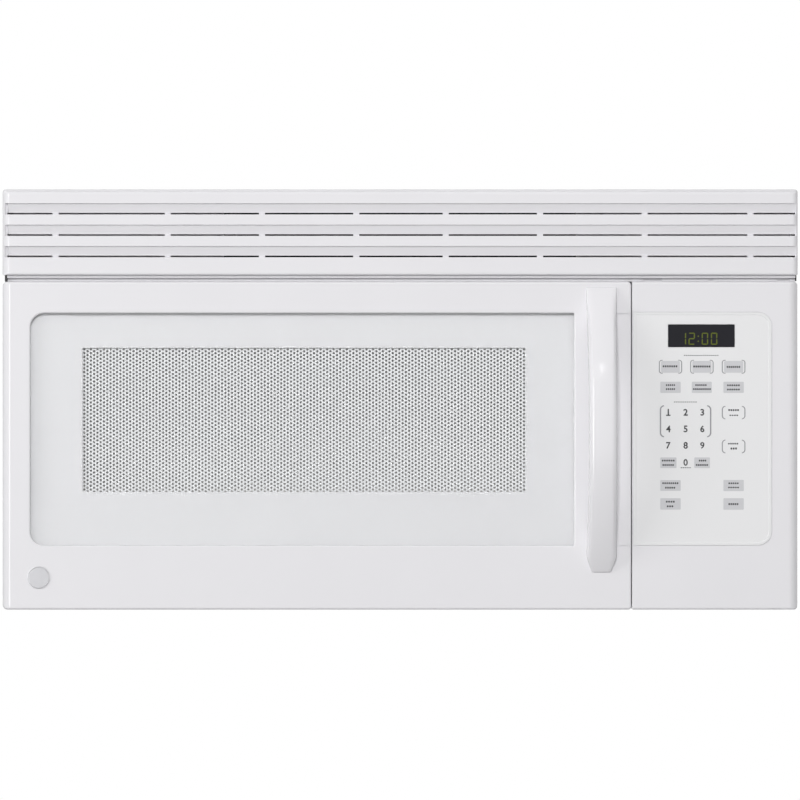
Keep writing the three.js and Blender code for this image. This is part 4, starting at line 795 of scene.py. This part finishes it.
def panel_shell():
    """Moulded panel with a shallow bed for the key film and posts for the board."""
    x, y, z = PANEL["x"], PANEL["y"], PANEL["z"]
    shell = block("panel_shell", x, y, z)
    round_edges(
        shell,
        [
            ("y", 4, lambda px, py, pz: near(px, x[1])),
            ("y", 1, lambda px, py, pz: near(px, x[0])),
            ("z", 9, lambda px, py, pz: near(px, x[1]) and near(py, y[0])),
            ("z", 0.7, lambda px, py, pz: near(px, x[0]) and near(py, y[0])),
            ("x", 2.2, lambda px, py, pz: near(py, y[0])),
        ],
        steps=8,
    )
    hollow = block("hollow", (x[0] + 3, x[1] - 3), (y[0] + 3, y[1] + 5), (z[0] + 3, z[1] - 3))
    bed_height = (FILM["z"][0] - 0.3, FILM["z"][1] + 0.3)
    bed = block("bed", (FILM["x"][0] - 0.3, FILM["x"][1] + 0.3), (y[0] - 5, y[0] + 0.8), bed_height)
    round_edges(bed, [("y", 13, lambda px, py, pz: px > 300)], steps=10)
    window = block("opening", (257.6, 316.6), (y[0] - 5, y[0] + 6), (52.7, 69.7))
    cut(shell, hollow, bed, window)
    posts = [shell]
    for px in (249.6, 351.6):
        for pz in (-121.8, 67.1):
            posts.append(rod("post", "y", 4, (-384.2, -376.0), (px, pz), 24))
    gather("panel_shell", *posts)
    return dress(shell, "case", gloss_abs, ["control_panel_frame"])


def film_sheet():
    """Key film with an embossed line inside its edge and a hole for the clock."""
    film = block("key_film_sheet", FILM["x"], (-387.7, -386.5), FILM["z"])
    round_edges(film, [("y", 13, lambda px, py, pz: px > 300)], steps=12)
    pick(film, "FACE", lambda middle, way: way.y < -0.9)
    bpy.ops.mesh.inset(thickness=0.5 * MM)
    bpy.ops.mesh.inset(thickness=1.8 * MM)
    bpy.ops.mesh.inset(thickness=0.45 * MM)
    bpy.ops.transform.translate(value=(0, 0.35 * MM, 0))
    bpy.ops.object.mode_set(mode="OBJECT")
    cut(film, block("opening", CLOCK["x"], (-389, -385), CLOCK["z"]))
    return dress(film, "case", key_film, ["key_overlay"])


def clock_lens():
    """Dark lens flush with the film, its edge eased."""
    made = block("clock_lens", (255.4, 318.8), (-387.6, -386.5), (50.5, 71.9))
    round_edges(made, [("y", 0.8, lambda px, py, pz: True)], steps=3)
    ease(made, 0.25, 2, 1.0)
    return dress(made, "case", smoked_acrylic, ["display_window"])


def pixel(px, py):
    """A place on the face, in mm, from the picture's grid of 800."""
    return (px - 399.5) * 0.9527, (399.3 - py) * 0.9527


def numeral(digit, px, py):
    """One flat printed numeral, made a mesh before it is placed."""
    put_down()
    bpy.ops.object.text_add(location=(0, 0, 0), rotation=(0, 0, 0))
    bpy.context.object.data.body = digit
    bpy.context.object.data.resolution_u = 3
    bpy.context.object.data.offset = 0.022
    bpy.ops.object.convert(target="MESH")
    mark = bpy.context.object
    points = [v.co for v in mark.data.vertices]
    low = [min(p[i] for p in points) for i in (0, 1)]
    high = [max(p[i] for p in points) for i in (0, 1)]
    scale = MARK_TALL * MM / (high[1] - low[1])
    x, z = pixel(px, py)
    mark.rotation_euler = (math.pi / 2, 0, 0)
    mark.scale = (scale, scale, scale)
    mark.location = (
        x * MM - (low[0] + high[0]) / 2 * scale,
        BLACK_FACE * MM,
        z * MM - (low[1] + high[1]) / 2 * scale,
    )
    return settle("numeral")


def printed_patch(px0, py0, px1, py1, corner, face=GREY_FACE):
    """A flat rounded patch of ink on the film."""
    (x0, z1), (x1, z0) = pixel(px0, py0), pixel(px1, py1)
    patch = block("patch", (x0, x1), (face, face + 0.1), (z0, z1))
    return round_edges(patch, [("y", corner, lambda px, py, pz: True)], steps=4)


def bracket_pair(px0, py0, px1, py1, corner, line, reach):
    """Two upright lines that hook inwards at their ends, at the sides of a key."""
    (x0, z1), (x1, z0) = pixel(px0, py0), pixel(px1, py1)
    thin = line * 0.8
    through = (LINE_FACE - 1, LINE_FACE + 1)
    outer = block("line", (x0, x1), (LINE_FACE, LINE_FACE + 0.14), (z0, z1))
    round_edges(outer, [("y", corner, lambda px, py, pz: True)], steps=5)
    inner = block("line", (x0 + line, x1 - line), through, (z0 + thin, z1 - thin))
    round_edges(inner, [("y", corner - thin, lambda px, py, pz: True)], steps=5)
    middle = block("line", (x0 + reach, x1 - reach), through, (z0 - 2, z1 + 2))
    return cut(outer, inner, middle)


def word_bars(px0, px1, py, tall):
    """A row of short dashes that stands where a key has a word, about one for each letter."""
    letter, inked = 2.1, 0.72
    count = max(2, round((px1 - px0) / letter))
    step = (px1 - px0) / count
    made = []
    for i in range(count):
        left = px0 + i * step
        box = (left, py - tall / 2, left + step * inked, py + tall / 2)
        made.append(printed_patch(*box, 0.25, BLACK_FACE))
    return made


def key_marks():
    """The film's print: grey fields, brackets, numerals and short bars where a key has words."""
    fields, lines, blacks = [], [], []
    for left, right in ((658.4, 681.6), (689.7, 713.1), (721.3, 744.9)):
        fields.append(printed_patch(left + 2.2, 360.2, right - 2.2, 372, 1.5))
        lines.append(bracket_pair(left, 359.2, right, 372.9, 2.6, 0.9, 3.6))
    for box in (
        (659.8, 381.0, 680.2, 392.2),
        (691.3, 381.0, 711.3, 392.2),
        (722.9, 381.0, 743.3, 392.2),
        (659.8, 456.7, 676.0, 467.4),
        (693.8, 456.7, 709.4, 467.4),
        (659.8, 479.4, 680.2, 490.1),
        (722.9, 479.2, 743.3, 490.4),
        (659.8, 497.5, 680.2, 508.9),
        (722.9, 497.5, 743.3, 509.0),
    ):
        fields.append(printed_patch(*box, 0.8))
    lines.append(bracket_pair(659.3, 404.5, 710.8, 436.6, 4.2, 1.25, 4.0))
    lines.append(bracket_pair(721.3, 405.2, 744.9, 418.6, 3.4, 0.95, 3.4))
    lines.append(bracket_pair(721.3, 439.0, 744.9, 452.6, 3.4, 0.95, 3.4))
    for i, digit in enumerate("123456789"):
        px = (667.8, 685.1, 701.8)[i % 3]
        py = (411.6, 428.2, 444.7)[i // 3]
        blacks.append(numeral(digit, px, py))
    blacks.append(printed_patch(665.6, 414.0, 670.0, 415.1, 0.2, BLACK_FACE))
    blacks.append(numeral("0", 685.1, 461.7))
    for px0, px1, py, tall in (
        (662.2, 677.4, 365.6, 1.9),
        (692.8, 710.4, 365.8, 1.9),
        (726.2, 740.2, 366.2, 1.9),
        (665.4, 675.0, 384.4, 1.7),
        (665.4, 675.0, 388.4, 1.7),
        (694.8, 706.6, 384.4, 1.7),
        (692.6, 710.8, 388.4, 1.7),
        (726.6, 739.8, 384.6, 1.7),
        (726.6, 739.8, 388.8, 1.7),
        (727.8, 739.0, 409.4, 1.8),
        (729.0, 738.2, 414.6, 1.1),
        (727.6, 738.2, 443.0, 1.4),
        (730.0, 737.0, 447.8, 1.9),
        (661.4, 674.6, 459.9, 1.7),
        (662.0, 673.8, 464.3, 1.7),
        (698.4, 706.2, 459.9, 1.7),
        (695.4, 708.0, 464.3, 1.7),
        (661.8, 678.4, 482.5, 1.7),
        (664.6, 675.2, 487.0, 1.7),
        (728.0, 738.6, 482.6, 1.6),
        (727.6, 739.0, 486.8, 1.4),
        (665.4, 674.8, 501.0, 1.7),
        (666.4, 673.4, 505.6, 1.7),
        (728.0, 738.4, 503.4, 1.9),
        (680.2, 690.9, 467.0, 0.8),
        (683.4, 718.5, 354.7, 0.7),
        (673.4, 696.9, 401.3, 0.7),
    ):
        blacks += word_bars(px0, px1, py, tall)
    prints = [
        ("key_grey_fields", fields, key_grey),
        ("key_brackets", lines, key_line),
        ("key_numerals", blacks, key_black),
    ]
    for name, parts, ink in prints:
        dress(gather(name, *parts), "case", ink, weigh=False)


def clock_segments():
    """Noon in lit bars just above the lens's face, their glow painted into their colour."""
    lit = {"1": "bc", "2": "abged", "0": "abcdef"}
    parts = []
    wide, tall, thick = 6.2, 11.6, 1.15
    depth = (-387.64, -387.5)
    z = pixel(0, 338.0)[1]
    for digit, px in (("1", 682.4), ("2", 691.2), ("0", 704.4), ("0", 713.6)):
        x = pixel(px, 0)[0]
        left, right = x - wide / 2, x + wide / 2
        top, low = z + tall / 2, z - tall / 2
        bars = {
            "a": (left + 0.6, right - 0.6, top - thick, top),
            "g": (left + 0.6, right - 0.6, z - thick / 2, z + thick / 2),
            "d": (left + 0.6, right - 0.6, low, low + thick),
            "b": (right - thick, right, z + 0.4, top - 0.4),
            "c": (right - thick, right, low + 0.4, z - 0.4),
            "f": (left, left + thick, z + 0.4, top - 0.4),
            "e": (left, left + thick, low + 0.4, z - 0.4),
        }
        for key in lit[digit]:
            x0, x1, z0, z1 = bars[key]
            bar = block("segment", (x0, x1), depth, (z0, z1))
            parts.append(round_edges(bar, [("y", 0.4, lambda px, py, pz: True)], steps=2))
    x = pixel(697.8, 0)[0]
    for up in (-2.4, 2.4):
        parts.append(rod("segment", "y", 0.7, depth, (x, z + up), 16))
    return dress(gather("clock_segments", *parts), "case", clock_painted_glow, weigh=False)


panel_shell()
film_sheet()
clock_lens()
key_marks()
clock_segments()

# ---------------------------------------------------------------- grille

GRILLE = {"x": (-379.5, 379.5), "y": (-387.0, -340.3), "z": (119.1, 201.0)}
# The uprights between the slits, as shares of half the width, and half an upright's width.
RIBS = (-0.866, -0.584, -0.347, -0.11, 0.115, 0.352, 0.615, 0.881)
RIB_HALF = 2.9
GROOVE = (176.8, 187.4)
GROOVE_DEEP, GROOVE_SHALLOW = 5.3, 1.7
GROOVE_STEP = 20.4


def grille_shell():
    """Moulded grille with three sloping grooves, each with a row of slits along its lower edge."""
    x, y, z = GRILLE["x"], GRILLE["y"], GRILLE["z"]
    shell = block("grille_shell", x, y, z)
    round_edges(
        shell,
        [
            ("x", 5, lambda px, py, pz: near(py, y[0]) and near(pz, z[1])),
            ("x", 2, lambda px, py, pz: near(py, y[0]) and near(pz, z[0])),
            ("z", 7.5, lambda px, py, pz: near(py, y[0]) and px < 0),
            ("z", 6, lambda px, py, pz: near(py, y[0]) and px > 0),
            ("y", 3, lambda px, py, pz: near(pz, z[1])),
            ("y", 1.5, lambda px, py, pz: near(pz, z[0])),
        ],
        steps=8,
    )
    hollow = block("hollow", (x[0] + 2.5, x[1] - 2.5), (y[0] + 6.5, y[1] + 5), (z[0] + 2.5, z[1] - 4))
    deep = y[0] + GROOVE_DEEP
    groove = block("groove", (x[0] + 2.3, x[1] - 1.5), (y[0] - 4, deep), GROOVE)
    round_edges(groove, [("z", 5.5, lambda px, py, pz: near(py, deep) and px < 0)], steps=6)
    pick(groove, "VERT", lambda middle, way: near(middle.y, deep) and near(middle.z, GROOVE[1]))
    bpy.ops.transform.translate(value=(0, (GROOVE_SHALLOW - GROOVE_DEEP) * MM, 0))
    bpy.ops.object.mode_set(mode="OBJECT")
    ribs = [share * x[1] for share in RIBS]
    starts = [x[0] + 4.8] + [rib + RIB_HALF for rib in ribs]
    ends = [rib - RIB_HALF for rib in ribs] + [x[1] - 2.5]
    slot_depth, slot_height = (y[0] + 1.5, y[0] + 8), (176.75, 178.6)
    slits = [block("slit", span, slot_depth, slot_height) for span in zip(starts, ends)]
    row = gather("slits", *slits)
    cutters = [hollow]
    for i in range(3):
        cutters.append(twin(groove, "groove", (0, 0, -GROOVE_STEP * i)))
        cutters.append(twin(row, "slits", (0, 0, -GROOVE_STEP * i)))
    for spare in (groove, row):
        bpy.data.objects.remove(spare)
    for side in (-250, 250):
        cutters.append(rod("hole", "z", 2, (190, 204), (side, -350.5), 24))
        cutters.append(rod("hole", "z", 4.3, (199.2, 204), (side, -350.5), 32))
    cutters.append(block("line", (x[0] - 2, x[1] + 2), (y[0] - 2, y[0] + SEAM_DEEP), (197.8, 198.5)))
    cut(shell, *cutters)
    for i in range(3):
        low = GROOVE[0] - GROOVE_STEP * i
        soften_rim(shell, y[0], (x[0] + 4, x[1] - 4, low - 0.2, low + 0.2), 0.7, 3)
    return dress(shell, "case", gloss_abs, ["vent_grille"])


def grille_lip():
    """Two stepped strips that close the gap between the grille and the door from behind."""
    span = (-374.9, 377.3)
    upper = block("grille_lip", span, (-381.6, -379.6), (116.4, 121.4))
    lower = block("lip", span, (-376.4, -374.6), (113.1, 119.5))
    round_edges(upper, [("x", 0.6, lambda px, py, pz: near(py, -381.6))], steps=3)
    round_edges(lower, [("x", 0.5, lambda px, py, pz: near(py, -376.4))], steps=3)
    for left, right, top in ((643, 662, 117.4), (709.5, 713.5, 117.4), (778, 790, 116.6)):
        notch = (pixel(left, 0)[0], pixel(right, 0)[0])
        cut(lower, block("notch", notch, (-380, -370), (112, top)))
    shelf = block("lip", span, (-380.2, -374.6), (119.2, 121.4))
    backing = block("lip", span, (-374.7, -373.9), (113.1, 119.5))
    whole = gather("grille_lip", upper, lower, shelf, backing)
    return dress(whole, "case", gloss_abs)


def gap_shade_blocks():
    """Black blocks at both ends of the gap, put there as painted shade where the gap's ends lie in
    shadow.
    """
    shade_blocks = []
    for span, low in (((-377.3, -374.9), 113.0), ((377.3, 378.5), 113.6)):
        shade_block = block("gap_shade_blocks", span, (-380.4, -374.0), (low, 118.9))
        shade_blocks.append(round_edges(shade_block, [("z", 0.4, lambda px, py, pz: near(py, -380.4))], steps=2))
    return dress(gather("gap_shade_blocks", *shade_blocks), "case", black_abs)


grille_shell()
grille_lip()
# Painted shade: black blocks stand in for the shadow at the gap's ends.
gap_shade_blocks()

# ---------------------------------------------------------------- tray and grease filters

TRAY = (-89.8, -178.75)
TRAY_WIDE, TRAY_FLOOR = 152.5, 132


def tray_plate():
    """Pressed glass tray: flared wall, flat floor with a shallow ring, three lugs for the coupler."""
    under = -115.4
    plate = rod("tray_plate", "z", TRAY_WIDE, (under, -103.4), TRAY, 96)
    pick(plate, "FACE", lambda middle, way: way.z < -0.9)
    centre = (TRAY[0] * MM, TRAY[1] * MM, under * MM)
    narrower = TRAY_FLOOR / TRAY_WIDE
    bpy.ops.transform.resize(value=(narrower, narrower, 1), center_override=centre)
    bpy.ops.object.mode_set(mode="OBJECT")
    pick(plate, "FACE", lambda middle, way: way.z > 0.9)
    for inward, down in ((2.5, 0), (18, 7), (62, 0), (1.5, 0.5), (6, 0), (1.5, -0.5)):
        bpy.ops.mesh.inset(thickness=inward * MM)
        bpy.ops.transform.translate(value=(0, 0, -down * MM))
    bpy.ops.object.mode_set(mode="OBJECT")
    ease(plate, 0.8, 3, 0.3)
    lugs = []
    for turn in (30, 150, 270):
        x = TRAY[0] + 15 * math.cos(math.radians(turn))
        y = TRAY[1] + 15 * math.sin(math.radians(turn))
        lugs.append(rod("lug", "z", 2.5, (-121.4, -115.2), (x, y), 24))
    return dress(gather("tray_plate", plate, *lugs), "tray", tray_glass, ["glass_tray"])


def grease_filter():
    """Pressed frames round nets of expanded aluminium, whose openings are 2 mm and drawn at 7."""
    x, y, z = (-285, -115), (-318.5, -158.5), (-199.5, -193.5)
    surround = block("filter_frame_left", x, y, z)
    round_edges(surround, [("z", 4, lambda px, py, pz: True)], steps=5)
    cut(surround, block("bay", (x[0] + 9, x[1] - 9), (y[0] + 9, y[1] - 9), (z[0] - 1, z[1] + 1)))
    ease(surround, 0.9, 3, 0.9)
    half = 3.5
    net = pierced_cell("filter_net_left", 4, half, (-277, -312, -195.3), (0, 0, 0), 0.7, (0, 0, 1.2))
    gather("filter_net_left", net, twin(net, "beside", (half, half, 0)))
    repeat(net, 22, (2 * half, 0, 0))
    repeat(net, 21, (0, 2 * half, 0))
    apart = (400, 0, 0)
    other_rim = twin(surround, "filter_frame_right", apart)
    other_net = twin(net, "filter_net_right", apart)
    for rim, middle, side in ((surround, net, "left"), (other_rim, other_net, "right")):
        dress(rim, "filter_" + side, mill_aluminium, ["grease_filter_" + side])
        dress(middle, "filter_" + side, mill_aluminium, weigh=False)


tray_plate()
grease_filter()

# ---------------------------------------------------------------- the rest of the solids

BODY_OF = {n: b for b, names in frame["record"]["behaviour"]["bodies"].items() for n in names}
SLOT_OF = {row["node"]: row["material_slot"] for row in frame["record"]["subparts"]}

# Folded sheet and cast pieces whose edges are eased as a press or a mould leaves them, by so many mm.
EASED = {
    "outer_case": 0.5,
    "rear_panel": 0.4,
    "base_panel": 0.4,
    "front_plate": 0.4,
    "cavity_liner": 0.3,
    "choke_cover": 0.5,
    "wall_plate": 0.4,
    "hinge_bracket_upper": 0.3,
    "hinge_bracket_lower": 0.3,
    "lamp_cover": 0.4,
    "cord_gland": 0.4,
    "latch_bar": 0.3,
    "latch_board": 0.3,
    "waveguide": 0.4,
    "magnetron": 0.4,
    "fan_shroud": 0.3,
}


def finish_of(name):
    """The slot's finish, but enamel on the liner, which shares its slot with painted sheet."""
    return liner_enamel if name == "cavity_liner" else node_finish[SLOT_OF[name]]


def eased(name, width):
    """A copy of a solid with its coplanar faces joined and its sharp edges eased."""
    source = frame["nodes"][name]
    copy = source.copy()
    copy.data = source.data.copy()
    copy.parent = None
    copy.name = copy.data.name = name + "_eased"
    for key in list(copy.keys()):
        del copy[key]
    bpy.context.scene.collection.objects.link(copy)
    take_up(copy)
    bpy.ops.object.mode_set(mode="EDIT")
    bpy.ops.mesh.select_all(action="SELECT")
    bpy.ops.mesh.remove_doubles(threshold=0.00001)
    bpy.ops.mesh.dissolve_limited(angle_limit=math.radians(0.5))
    bpy.ops.object.mode_set(mode="OBJECT")
    apply_modifier(
        copy,
        "BEVEL",
        width=width * MM,
        segments=2,
        limit_method="ANGLE",
        angle_limit=math.radians(50),
        use_clamp_overlap=True,
    )
    return dress(copy, BODY_OF[name], finish_of(name), [name])


for name, width in EASED.items():
    eased(name, width)

for name, kept in frame["nodes"].items():
    if kept.hide_render:
        continue
    finish = finish_of(name)
    if kept.material_slots:
        for holder in kept.material_slots:
            holder.material = finish
    else:
        kept.data.materials.append(finish)
